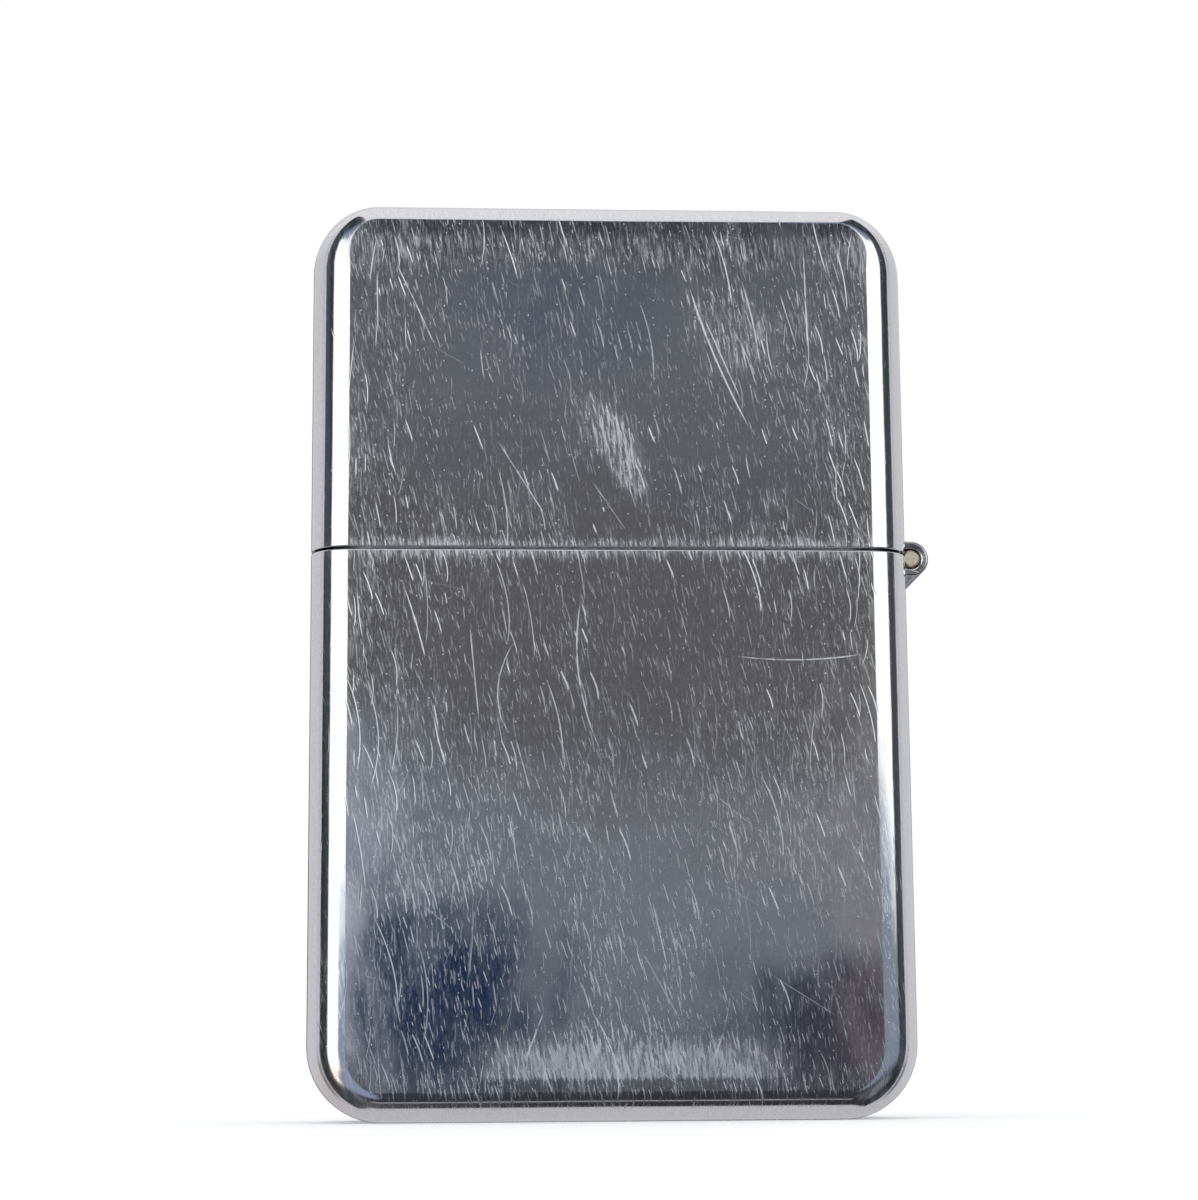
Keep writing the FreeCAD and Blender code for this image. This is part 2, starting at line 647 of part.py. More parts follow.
def rivet(name, r, head, head_len, dimple, grip, x, z):
    total = Q.of(grip) + 2 * head_len
    return keep(name, turned(name, [
        (0.0, 0.15), (dimple, 0.15), (dimple, 0.0), (head - 0.15, 0.0), (head, 0.15), (head, head_len),
        (r, head_len), (r, total - head_len),
        (head, total - head_len), (head, total - 0.15), (head - 0.15, total), (dimple, total),
        (dimple, total - 0.15), (0.0, total - 0.15),
    ], x, -(total / 2), z, ALONG_Y))


rivet("wheel_rivet", D.rivet_rad, D.rivet_head, D.rivet_head_len, D.rivet_dimple,
      2 * D.chimney_half, D.wheel_x, D.wheel_z)
rivet("cam_rivet", D.cam_pin, D.cam_pin_head, D.cam_pin_head_len, D.cam_pin / 2,
      2 * D.lug_out, D.cam_x, D.cam_z)

# --------------------------------------------------------------------------
# Lid cam and its leaf spring.

cam = new_body("cam_body")
s10 = new_sketch(cam, "XZ_Plane", "cam_outline")
hub_r, tip_r, arm = D.cam_hub.v, D.cam_tip.v, D.cam_arm.v
tilt = math.asin((hub_r - tip_r) / arm)
s10.addGeometry([
    Part.ArcOfCircle(Part.Circle(V(0, 0, 0), V(0, 0, 1), hub_r), math.pi - tilt, 2 * math.pi + tilt),
    Part.LineSegment(V(hub_r * math.cos(tilt), hub_r * math.sin(tilt), 0),
                     V(tip_r * math.cos(tilt), arm + tip_r * math.sin(tilt), 0)),
    Part.ArcOfCircle(Part.Circle(V(0, arm, 0), V(0, 0, 1), tip_r), tilt, math.pi - tilt),
    Part.LineSegment(V(-tip_r * math.cos(tilt), arm + tip_r * math.sin(tilt), 0),
                     V(-hub_r * math.cos(tilt), hub_r * math.sin(tilt), 0)),
], False)
s10.addConstraint(Sketcher.Constraint("Tangent", 0, 2, 1, 1))
s10.addConstraint(Sketcher.Constraint("Tangent", 1, 2, 2, 1))
s10.addConstraint(Sketcher.Constraint("Tangent", 2, 2, 3, 1))
s10.addConstraint(Sketcher.Constraint("Tangent", 3, 2, 0, 1))
s10.addConstraint(Sketcher.Constraint("Coincident", 0, 3, -1, 1))
s10.addConstraint(Sketcher.Constraint("PointOnObject", 2, 3, -2))
for geo, q in ((0, D.cam_hub), (2, D.cam_tip)):
    n = s10.addConstraint(Sketcher.Constraint("Radius", geo, q.v))
    s10.setExpression("Constraints[%d]" % n, q.t)
n = s10.addConstraint(Sketcher.Constraint("DistanceY", -1, 1, 2, 3, arm))
s10.setExpression("Constraints[%d]" % n, D.cam_arm.t)
pad(cam, s10, D.cam_thick, both=True)
s11 = new_sketch(cam, "XZ_Plane", "cam_bore_circle")
circle(s11, 0.0, 0.0, D.cam_bore)
pocket(cam, s11, D.cam_thick + 1, both=True)
place(cam, D.cam_x, 0.0, D.cam_z, FreeCAD.Rotation(V(0, 1, 0), D.cam_lean.v))
keep("cam_lever", cam)

leaf = new_body("leaf_body")
s12 = new_sketch(leaf, "XZ_Plane", "leaf_profile")
polygon(s12, [
    (D.leaf_root, 0.0), (D.leaf_bend, 0.0), (D.leaf_tip, D.leaf_rise),
    (D.leaf_tip, D.leaf_rise + D.leaf_spring), (D.leaf_bend, D.leaf_spring), (D.leaf_root, D.leaf_spring),
])
pad(leaf, s12, D.leaf_wide, both=True)
place(leaf, 0.0, 0.0, plate_top)
keep("cam_spring", cut("cam_spring", leaf, [
    cyl("leaf_eye", D.leaf_rivet + 0.02, 2.0, D.leaf_rivet_x, 0.0, plate_top - 0.5)]))

grip = D.plate_thick + D.leaf_spring
keep("cam_spring_rivet", turned("cam_spring_rivet", [
    (0.0, -D.leaf_rivet_head_len), (D.leaf_rivet_head - 0.15, -D.leaf_rivet_head_len),
    (D.leaf_rivet_head, -D.leaf_rivet_head_len + 0.15), (D.leaf_rivet_head, 0.0),
    (D.leaf_rivet, 0.0), (D.leaf_rivet, grip), (D.leaf_rivet_head, grip),
    (D.leaf_rivet_head, grip + D.leaf_rivet_head_len - 0.15),
    (D.leaf_rivet_head - 0.15, grip + D.leaf_rivet_head_len), (0.0, grip + D.leaf_rivet_head_len),
], D.leaf_rivet_x, 0.0, plate_low))

# --------------------------------------------------------------------------
# Flint train: tube, flint, pusher, spring, screw.

keep("flint_tube", turned("flint_tube", [
    (D.tube_in, 0.0), (D.tube_out, 0.0), (D.tube_out, D.tube_top - D.tube_low),
    (D.tube_in, D.tube_top - D.tube_low),
], D.wheel_x, 0.0, D.tube_low))

keep("flint", turned("flint", [
    (0.0, 0.0), (D.flint_rad - 0.15, 0.0), (D.flint_rad, 0.15),
    (D.flint_rad, D.flint_top - D.flint_low - 0.15),
    (D.flint_rad - 0.15, D.flint_top - D.flint_low), (0.0, D.flint_top - D.flint_low),
], D.wheel_x, 0.0, D.flint_low))

pusher_low = D.flint_low - D.pusher_len - D.pusher_stem_len
keep("flint_pusher", turned("flint_pusher", [
    (0.0, 0.0), (D.pusher_stem, 0.0), (D.pusher_stem, D.pusher_stem_len),
    (D.pusher_rad, D.pusher_stem_len), (D.pusher_rad, D.pusher_stem_len + D.pusher_len - 0.3),
    (D.pusher_rad - 0.3, D.pusher_stem_len + D.pusher_len), (0.0, D.pusher_stem_len + D.pusher_len),
], D.wheel_x, 0.0, pusher_low))

# spring: round wire wound in an open coil from the screw's end to the pusher's head
coil_high = D.flint_low - D.pusher_len
coil_line = doc.addObject("Part::Helix", "coil_line")
bind(coil_line, "Radius", D.coil_mean)
bind(coil_line, "Pitch", D.coil_pitch)
bind(coil_line, "Height", coil_high - D.coil_low - 2 * D.coil_wire)
place(coil_line, D.wheel_x, 0.0, D.coil_low + D.coil_wire)
coil_section = doc.addObject("Part::Circle", "coil_section")
bind(coil_section, "Radius", D.coil_wire)
place(coil_section, D.wheel_x + D.coil_mean, 0.0, D.coil_low + D.coil_wire, FreeCAD.Rotation(V(1, 0, 0), 90))
coil = doc.addObject("Part::Sweep", "coil")
coil.Sections = [coil_section]
coil.Spine = (coil_line, ["Edge1"])
coil.Solid = True
coil.Frenet = True
keep("flint_spring", coil)

screw = turned("screw_body", [
    (0.0, 0.0), (D.screw_head - 0.25, 0.0), (D.screw_head, 0.25), (D.screw_head, D.screw_head_len),
    (D.screw_shank, D.screw_head_len), (D.screw_shank, D.screw_shank_top - D.screw_low - 0.3),
    (D.screw_shank - 0.3, D.screw_shank_top - D.screw_low), (0.0, D.screw_shank_top - D.screw_low),
], D.wheel_x, 0.0, D.screw_low)
keep("flint_screw", cut("flint_screw", screw, [
    box("screw_slot", D.wheel_x - D.screw_head - 1, D.wheel_x + D.screw_head + 1, -D.slot_half,
        D.slot_half, D.screw_low - 1, D.screw_low + D.slot_deep)]))

# --------------------------------------------------------------------------
# Wick: one cord from the chimney down through the packing, straight runs
# joined by tangent arcs.

route = [(D.wick_x, D.wick_top), (D.wick_x, D.wick_knee), (D.wick_far, D.wick_far_high),
         (D.wick_far, D.wick_far_low), (D.wick_end_x, D.wick_end_z)]
pts = [V(x.v, 0, z.v) for x, z in route]


def bend_radius(i):
    a, b = pts[i] - pts[i - 1], pts[i + 1] - pts[i]
    turn = a.getAngle(b)
    return 0.45 * min(a.Length, b.Length) / math.tan(turn / 2)


def cord_path():
    edges, last = [], pts[0]
    for i in range(1, len(pts) - 1):
        a = (pts[i] - pts[i - 1]).normalize()
        b = (pts[i + 1] - pts[i]).normalize()
        turn = a.getAngle(b)
        r = bend_radius(i)
        t = r * math.tan(turn / 2)
        start, end = pts[i] - a * t, pts[i] + b * t
        inward = (b - a).normalize()
        centre = pts[i] + inward * (r / math.cos(turn / 2))
        middle = centre + (pts[i] - centre).normalize() * r
        edges.append(Part.LineSegment(last, start).toShape())
        edges.append(Part.Arc(start, middle, end).toShape())
        last = end
    edges.append(Part.LineSegment(last, pts[-1]).toShape())
    return Part.Wire(edges)


print("wick bend radii", ["%.2f" % bend_radius(i) for i in range(1, len(pts) - 1)])
path = doc.addObject("Part::Feature", "wick_route")
path.Shape = cord_path()


def cord(name, r):
    ring = doc.addObject("Part::Circle", name + "_section")
    bind(ring, "Radius", r)
    place(ring, D.wick_x, 0.0, D.wick_top)
    o = doc.addObject("Part::Sweep", name)
    o.Sections = [ring]
    o.Spine = (path, ["Edge%d" % (i + 1) for i in range(len(path.Shape.Edges))])
    o.Solid = True
    o.Frenet = False
    return o


keep("wick", cord("wick", D.wick_rad))
wick_tunnel = cord("wick_passage", D.wick_tunnel)

# --------------------------------------------------------------------------
# Cotton packing: soft lumps pressed in round wick and flint tube, and the felt
# pad that closes the insert from below.

in_left = -D.insert_left + D.insert_wall + D.pack_side
in_right = D.insert_right - D.insert_wall - D.pack_side
in_half = half_d - D.insert_wall - D.pack_side
pack_block = new_body("packing_block")
s13 = new_sketch(pack_block, "XY_Plane", "packing_outline")
rounded_rect(s13, (in_right - in_left) / 2, -in_half, in_half, 2.3, 2.3)
pad(pack_block, s13, D.pack_top - D.pack_low)
place(pack_block, (in_right + in_left) / 2, 0.0, D.pack_low)
tools = [wick_tunnel, cyl("packing_tube_way", D.tube_out + 0.1, 40.0, D.wheel_x, 0.0, D.pack_low - 1)]
span = D.pack_top - D.pack_low
for i in range(1, 5):
    z = D.pack_low + span * (i / 5.0)
    tools.append(box("packing_part_%d" % i, in_left - 1, in_right + 1, -in_half - 1, in_half + 1,
                     z - D.pack_split / 2, z + D.pack_split / 2))
keep("cotton_packing", cut("cotton_packing", pack_block, tools))

felt = new_body("felt_body")
s14 = new_sketch(felt, "XY_Plane", "felt_outline")
rounded_rect(s14, (in_right - in_left) / 2, -in_half, in_half, 2.3, 2.3)
pad(felt, s14, D.felt_top - D.felt_low)
place(felt, (in_right + in_left) / 2, 0.0, D.felt_low)
keep("felt_pad", cut("felt_pad", felt, [
    cyl("felt_screw_way", D.felt_hole, 10.0, D.wheel_x, 0.0, D.felt_low - 2)]))

# --------------------------------------------------------------------------
doc.recompute()

bad = []
for obj in doc.Objects:
    if any(state in ("Invalid", "Error") for state in obj.State):
        bad.append("%s: %s" % (obj.Label, obj.State))
for name, obj in nodes.items():
    shape = obj.Shape
    if shape.isNull() or not shape.isValid():
        bad.append("%s: null or invalid shape" % name)
    elif not shape.Solids:
        bad.append("%s: no solid" % name)
if bad:
    raise RuntimeError("; ".join(bad))

# the insert's hollows must really have been cut
full = 4 * ins_half.v * half_d.v * ins_h.v
if nodes["insert_shell"].Shape.Volume > 0.2 * full:
    raise RuntimeError("insert shell is not hollow")

wick_volume = math.pi * D.wick_rad.v ** 2 * path.Shape.Length
print("wick volume %.2f, section x length %.2f" % (nodes["wick"].Shape.Volume, wick_volume))

os.makedirs("parts", exist_ok=True)
for name, obj in nodes.items():
    obj.Shape.exportStep("parts/%s.step" % name)
    bb = obj.Shape.BoundBox
    print("%-18s solids %2d  vol %9.2f  x %7.2f %7.2f  y %6.2f %6.2f  z %6.2f %6.2f" % (
        name, len(obj.Shape.Solids), obj.Shape.Volume, bb.XMin, bb.XMax, bb.YMin, bb.YMax, bb.ZMin, bb.ZMax))
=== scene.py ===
# A closed flip-top petrol lighter in scratched chrome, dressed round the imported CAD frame.
import math

import bpy
import numpy as np
from mathutils import Matrix, Vector


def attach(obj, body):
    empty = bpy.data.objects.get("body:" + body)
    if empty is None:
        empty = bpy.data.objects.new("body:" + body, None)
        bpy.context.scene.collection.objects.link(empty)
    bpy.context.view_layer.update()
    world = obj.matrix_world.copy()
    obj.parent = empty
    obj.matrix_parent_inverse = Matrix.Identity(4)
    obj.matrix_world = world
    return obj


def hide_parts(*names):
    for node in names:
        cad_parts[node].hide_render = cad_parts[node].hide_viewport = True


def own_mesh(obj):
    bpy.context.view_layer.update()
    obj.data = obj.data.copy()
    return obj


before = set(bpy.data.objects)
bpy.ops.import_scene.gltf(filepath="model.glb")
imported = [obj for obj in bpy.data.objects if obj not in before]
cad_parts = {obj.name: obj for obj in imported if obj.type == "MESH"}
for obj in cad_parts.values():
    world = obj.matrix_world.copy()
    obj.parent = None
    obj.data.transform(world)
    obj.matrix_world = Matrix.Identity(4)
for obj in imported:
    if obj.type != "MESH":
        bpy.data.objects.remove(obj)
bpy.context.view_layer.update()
MM = 0.001
scene = bpy.context.scene
PI = math.pi


# ---------------------------------------------------------------------------
# Camera: just above the floor, a little left of the middle, looking up slightly.

def look(place, yaw, pitch, roll, focal):
    y, p, r = (math.radians(a) for a in (yaw, pitch, roll))
    fwd = Vector((-math.sin(y) * math.cos(p), math.cos(y) * math.cos(p), math.sin(p)))
    right = Vector((math.cos(y), math.sin(y), 0))
    up = right.cross(fwd)
    r2 = right * math.cos(r) + up * math.sin(r)
    u2 = up * math.cos(r) - right * math.sin(r)
    data = bpy.data.cameras.new("camera")
    cam = bpy.data.objects.new("camera", data)
    scene.collection.objects.link(cam)
    m = Matrix((r2, u2, -fwd)).transposed().to_4x4()
    m.translation = Vector(place) * MM
    cam.matrix_world = m
    data.sensor_width = 36.0
    data.lens = focal
    data.clip_start = 0.01
    data.clip_end = 20
    scene.camera = cam


look((-11.0, -175.7, 3.0), -3.44, 9.60, -0.43, 83.58)
scene.view_settings.view_transform = "Standard"
scene.view_settings.look = "None"
scene.view_settings.exposure = 0.0
scene.view_settings.gamma = 1.0


# ---------------------------------------------------------------------------
# Node writing: E is a socket that adds, multiplies and so on.

class E:
    def __init__(self, g, sock):
        self.g, self.s = g, sock

    def __add__(self, o): return self.g.math("ADD", self, o)
    def __radd__(self, o): return self.g.math("ADD", o, self)
    def __sub__(self, o): return self.g.math("SUBTRACT", self, o)
    def __rsub__(self, o): return self.g.math("SUBTRACT", o, self)
    def __mul__(self, o): return self.g.math("MULTIPLY", self, o)
    def __rmul__(self, o): return self.g.math("MULTIPLY", o, self)
    def __truediv__(self, o): return self.g.math("DIVIDE", self, o)
    def __neg__(self): return self.g.math("MULTIPLY", self, -1.0)


class Graph:
    def __init__(self, tree):
        self.t = tree

    def node(self, kind, **props):
        n = self.t.nodes.new(kind)
        for k, v in props.items():
            setattr(n, k, v)
        return n

    def put(self, sock, val):
        if isinstance(val, E):
            self.t.links.new(val.s, sock)
        elif val is not None:
            sock.default_value = val

    def out(self, n, k=0):
        return E(self, n.outputs[k])

    def math(self, op, a, b=None, c=None, clamp=False):
        n = self.node("ShaderNodeMath", operation=op, use_clamp=clamp)
        for i, v in enumerate((a, b, c)):
            if v is not None:
                self.put(n.inputs[i], v)
        return self.out(n)

    def vec(self, op, a, b=None, c=None, scale=None):
        n = self.node("ShaderNodeVectorMath", operation=op)
        for i, v in enumerate((a, b, c)):
            if v is not None:
                self.put(n.inputs[i], v)
        if scale is not None:
            self.put(n.inputs["Scale"], scale)
        return self.out(n, 1 if op in ("DOT_PRODUCT", "LENGTH", "DISTANCE") else 0)

    def mx(self, a, b): return self.math("MAXIMUM", a, b)
    def mn(self, a, b): return self.math("MINIMUM", a, b)
    def ab(self, a): return self.math("ABSOLUTE", a)
    def clamp(self, a): return self.math("ADD", a, 0.0, clamp=True)

    def ss(self, x, lo, hi, a=0.0, b=1.0):
        """Smooth step from a at lo to b at hi; lo may be above hi."""
        if lo > hi:
            lo, hi, a, b = hi, lo, b, a
        n = self.node("ShaderNodeMapRange", interpolation_type="SMOOTHSTEP")
        self.put(n.inputs[0], x)
        for i, v in enumerate((lo, hi, a, b)):
            n.inputs[i + 1].default_value = v
        return self.out(n)

    def lin(self, x, lo, hi, a=0.0, b=1.0):
        n = self.node("ShaderNodeMapRange", interpolation_type="LINEAR", clamp=True)
        self.put(n.inputs[0], x)
        for i, v in enumerate((lo, hi, a, b)):
            n.inputs[i + 1].default_value = v
        return self.out(n)

    def split(self, v):
        n = self.node("ShaderNodeSeparateXYZ")
        self.put(n.inputs[0], v)
        return [self.out(n, i) for i in range(3)]

    def join(self, x, y, z):
        n = self.node("ShaderNodeCombineXYZ")
        for i, v in enumerate((x, y, z)):
            self.put(n.inputs[i], v)
        return self.out(n)

    def noise(self, v, scale=1.0, detail=2.0, rough=0.5, w=None, distort=0.0, kind="3D"):
        n = self.node("ShaderNodeTexNoise", noise_dimensions=kind)
        self.put(n.inputs["Vector"], v)
        self.put(n.inputs["Scale"], scale)
        self.put(n.inputs["Detail"], detail)
        self.put(n.inputs["Roughness"], rough)
        self.put(n.inputs["Distortion"], distort)
        return self.out(n, 0)

    def voronoi(self, v, scale=1.0, feature="F1", rand=1.0, kind="3D"):
        n = self.node("ShaderNodeTexVoronoi", feature=feature, voronoi_dimensions=kind)
        self.put(n.inputs["Vector"], v)
        self.put(n.inputs["Scale"], scale)
        self.put(n.inputs["Randomness"], rand)
        return n

    def mix(self, f, a, b):
        n = self.node("ShaderNodeMix", data_type="RGBA", blend_type="MIX")
        self.put(n.inputs[0], f)
        self.put(n.inputs[6], a)
        self.put(n.inputs[7], b)
        return self.out(n, 2)

    def mixf(self, f, a, b):
        n = self.node("ShaderNodeMix", data_type="FLOAT")
        self.put(n.inputs[0], f)
        self.put(n.inputs[2], a)
        self.put(n.inputs[3], b)
        return self.out(n, 0)


def rgb(r, g, b):
    """A colour given as it looks on screen, 0 to 255, as linear light."""
    def f(c):
        c /= 255.0
        return c / 12.92 if c <= 0.04045 else ((c + 0.055) / 1.055) ** 2.4
    return (f(r), f(g), f(b), 1.0)


# ---------------------------------------------------------------------------
# Studio: a soft pale tent.  Darkness opposite the broad faces, white panels
# beside them, light grey behind; all by direction, so it stays put as the
# camera goes round.

def studio():
    world = bpy.data.worlds.new("studio")
    scene.world = world
    world.use_nodes = True
    t = world.node_tree
    t.nodes.clear()
    g = Graph(t)
    d = g.out(g.node("ShaderNodeTexCoord"), 0)
    x, y, z = g.split(g.vec("NORMALIZE", d))
    psi = g.math("ARCCOSINE", -y) * (180 / PI)
    side = g.mx(g.math("SQRT", x * x + z * z), 1e-4)
    tz = z / side                       # 1 straight up, -1 straight down
    ay = g.mx(g.ab(y), 0.02)
    fx = x / ay * 169.2 - 11.0          # where the broad face mirrors this direction
    fz = z / ay * 169.2 + 3.0

    # what the broad face sees
    def blob(cx, cz, rx, rz, inner=0.0):
        q = g.math("SQRT", g.math("POWER", g.ab((fx - cx) * (1 / rx)), 2.0) + g.math("POWER", g.ab((fz - cz) * (1 / rz)), 2.0))
        return g.ss(q, 1.0, inner)

    mid = g.ss(g.ab(fx), 16.0, 10.0)
    face = g.mix(g.ss(fz, 36, 46), g.mix(mid, rgb(90, 89, 91), rgb(99, 98, 101)), g.mix(mid, rgb(93, 97, 104), rgb(106, 110, 118)))
    face = g.mix(g.ss(fz, 53.4, 55.4), face, rgb(56, 60, 68))
    face = g.mix(g.ss(fz, 24, 15) * 0.85, face, rgb(128, 134, 144))
    face = g.mix(blob(-15.0, 18.5, 9, 8) * 0.85, face, rgb(122, 136, 154))
    face = g.mix(blob(-9.8, 7.8, 8.0, 7.4, 0.4), face, rgb(6, 38, 76))
    face = g.mix(blob(12.5, 5.6, 8.5, 5.8, 0.3) * 0.95, face, rgb(34, 46, 64))
    face = g.mix(blob(15.5, 3.6, 4.0, 2.6, 0.2) * 0.5, face, rgb(116, 90, 96))
    face = g.mix(blob(17.5, 14, 5, 9) * 0.6, face, rgb(158, 142, 146))
    face = g.mix(blob(-3, 50, 7, 4.5) * 0.6, face, rgb(72, 82, 112))
    face = g.mix(blob(9, 37, 10, 3.5) * 0.4, face, rgb(84, 86, 100))
    face = g.mix(g.ss(fx, -14.2, -17.4) * g.ss(fz, 27, 20) * g.ss(fz, -9, 1) * 0.92, face, g.mix(g.ss(fz, 16, 9), rgb(164, 170, 184), rgb(206, 212, 224)))
    face = g.mix(g.ss(fx, 13.4, 17.6) * g.ss(fz, 29, 25) * g.ss(fz, 8, 12) * 0.8, face, rgb(150, 146, 148))
    face = g.mix(g.ss(fx, 13.6, 17.0) * g.ss(fz, 12, 7) * 0.5, face, rgb(128, 104, 110))
    face = g.mix(g.ss(fz, 3.0, 1.6), face, rgb(56, 58, 63))
    eps = g.math("ARCSINE", z) * (180 / PI)
    cloud = g.ss(g.noise(g.join(x * 7.0, z * 5.0, y * 2.0), 1.0, 1.0, 0.5), 0.34, 0.66)
    under = g.mix(cloud, rgb(46, 54, 58), rgb(78, 84, 90))
    under = g.mix(g.ss(tz, -0.80, -0.95), under, g.mix(cloud, rgb(38, 34, 35), rgb(62, 61, 66)))
    under = g.mix(g.ss(tz, -0.80, -0.95) * g.ss(psi, 39, 43), under, g.mix(g.ss(x, -0.06, 0.04), rgb(98, 96, 96), rgb(58, 56, 58)))
    under = g.mix(g.ss(tz, -0.35, -0.5) * g.ss(tz, -0.94, -0.86) * g.ss(psi, 24, 32) * g.ss(psi, 60, 50) * 0.85, under, g.mix(cloud, rgb(84, 88, 94), rgb(138, 140, 146)))
    dark = g.mix(g.ss(psi, 20, 40), face, under)

    frontal = g.ss(y, 0.0, -0.05)
    white_l = g.ss(fx, -20.4, -22.4) * g.ss(psi, 57, 52) * frontal
    white_r = g.ss(fx, 20.4, 22.4) * g.ss(psi, 59, 54) * frontal
    tip = eps - (psi - 28.0) * 0.3
    level_l = g.ss(tip, 23.6, 20.8) * g.ss(eps, -27, -20)
    level_r = g.ss(tip, 23.6, 20.8) * g.ss(eps, -16, -6)
    panel_r = g.mix(g.ss(fz, 15, 27), rgb(138, 148, 166), (1.55, 1.6, 1.65, 1.0))
    white = g.mix(g.ss(eps, -4, -16), (1.55, 1.6, 1.65, 1.0), (1.45, 1.28, 1.12, 1.0))
    inner_l = g.ss(fz, 15, 9) * g.ss(psi - g.ss(eps, -3, -20) * 20.0, 26, 19)
    panel_l = g.mix(inner_l, white, rgb(150, 160, 188))
    col = g.mix(white_l * level_l, dark, panel_l)
    col = g.mix(white_r * level_r, col, panel_r)
    # bluish slopes over the upper corners
    col = g.mix(g.ss(tip, 21.5, 23.5) * g.ss(tip, 31.0, 25.0) * g.ss(tz, 0.985, 0.93) * g.ss(psi, 19, 26) * g.ss(psi, 62, 48) * 0.85, col, rgb(146, 160, 186))
    # light grey beyond, nearer to the front overhead than at the sides
    start = g.ss(tz, 0.90, 0.985, 82.0, 22.5)
    start = g.mn(start, g.ss(tz, -0.90, -0.985, 82.0, 62.0))
    outer = g.ss(psi - start, -1.5, 1.5)
    grey = g.mix(g.ss(tz, -0.2, -0.8), (0.70, 0.69, 0.74, 1), (0.60, 0.59, 0.62, 1))
    grey = g.mix(g.ss(psi, 150, 100) * g.ss(tz, 0.3, 0.9) * 0.5, grey, (1.15, 1.15, 1.17, 1))
    col = g.mix(outer, col, grey)
    # square to the sides a slope from dark below to light above
    slope = g.mix(g.ss(z + cloud * 0.05, -0.36, 0.06), rgb(120, 122, 130), rgb(206, 206, 212))
    col = g.mix(g.ss(g.ab(psi - 91.0), 6.0, 3.0) * g.ss(g.ab(tz), 0.80, 0.55), col, slope)
    # a thin light edge low in front
    col = g.mix(g.ss(g.ab(psi - 38.0), 2.6, 0.8) * g.ss(tz, -0.93, -0.985), col, (0.5, 0.5, 0.52, 1))
    # the other broad face sees darkness too
    back = g.mix(cloud, rgb(88, 92, 100), rgb(160, 165, 174))
    col = g.mix(g.ss(psi, 149, 157), col, back)

    bg = g.node("ShaderNodeBackground")
    g.put(bg.inputs[0], col)
    bg.inputs[1].default_value = 1.0
    white = g.node("ShaderNodeBackground")
    white.inputs[0].default_value = (1, 1, 1, 1)
    white.inputs[1].default_value = 1.0
    soft = g.node("ShaderNodeBackground")
    soft.inputs[0].default_value = (0.93, 0.94, 0.96, 1)
    soft.inputs[1].default_value = 0.95
    lp = g.node("ShaderNodeLightPath")
    m1 = g.node("ShaderNodeMixShader")
    t.links.new(lp.outputs["Is Glossy Ray"], m1.inputs[0])
    t.links.new(soft.outputs[0], m1.inputs[1])
    t.links.new(bg.outputs[0], m1.inputs[2])
    m2 = g.node("ShaderNodeMixShader")
    t.links.new(lp.outputs["Is Camera Ray"], m2.inputs[0])
    t.links.new(m1.outputs[0], m2.inputs[1])
    t.links.new(white.outputs[0], m2.inputs[2])
    out = g.node("ShaderNodeOutputWorld")
    t.links.new(m2.outputs[0], out.inputs[0])


studio()


def floor():
    mesh = bpy.data.meshes.new("floor")
    s = 6.0
    mesh.from_pydata([(-s, -s, 0), (s, -s, 0), (s, s, 0), (-s, s, 0)], [], [(0, 1, 2, 3)])
    o = bpy.data.objects.new("floor", mesh)
    scene.collection.objects.link(o)
    o.visible_glossy = False
    m = bpy.data.materials.new("floor_paper")
    m.use_nodes = True
    g = Graph(m.node_tree)
    p = m.node_tree.nodes["Principled BSDF"]
    c = g.out(g.node("ShaderNodeTexCoord"), 3)
    n = g.noise(c, 40.0, 4.0)
    g.put(p.inputs["Base Color"], g.mix(n, (0.90, 0.90, 0.90, 1), (0.93, 0.93, 0.93, 1)))
    p.inputs["Roughness"].default_value = 0.9
    p.inputs["Specular IOR Level"].default_value = 0.1
    p.inputs["Emission Color"].default_value = (1, 1, 1, 1)
    p.inputs["Emission Strength"].default_value = 0.20
    mesh.materials.append(m)
    light = bpy.data.lights.new("overhead", "AREA")
    light.shape = "DISK"
    light.size = 0.5
    light.energy = 0.35
    lo = bpy.data.objects.new("overhead", light)
    lo.location = (-0.1, -0.15, 0.55)
    lo.rotation_euler = Vector((0.1, 0.15, -0.52)).to_track_quat("-Z", "Y").to_euler()
    lo.visible_glossy = False
    scene.collection.objects.link(lo)


floor()


# ---------------------------------------------------------------------------
# Mesh writing: faces carry their own corner normals.

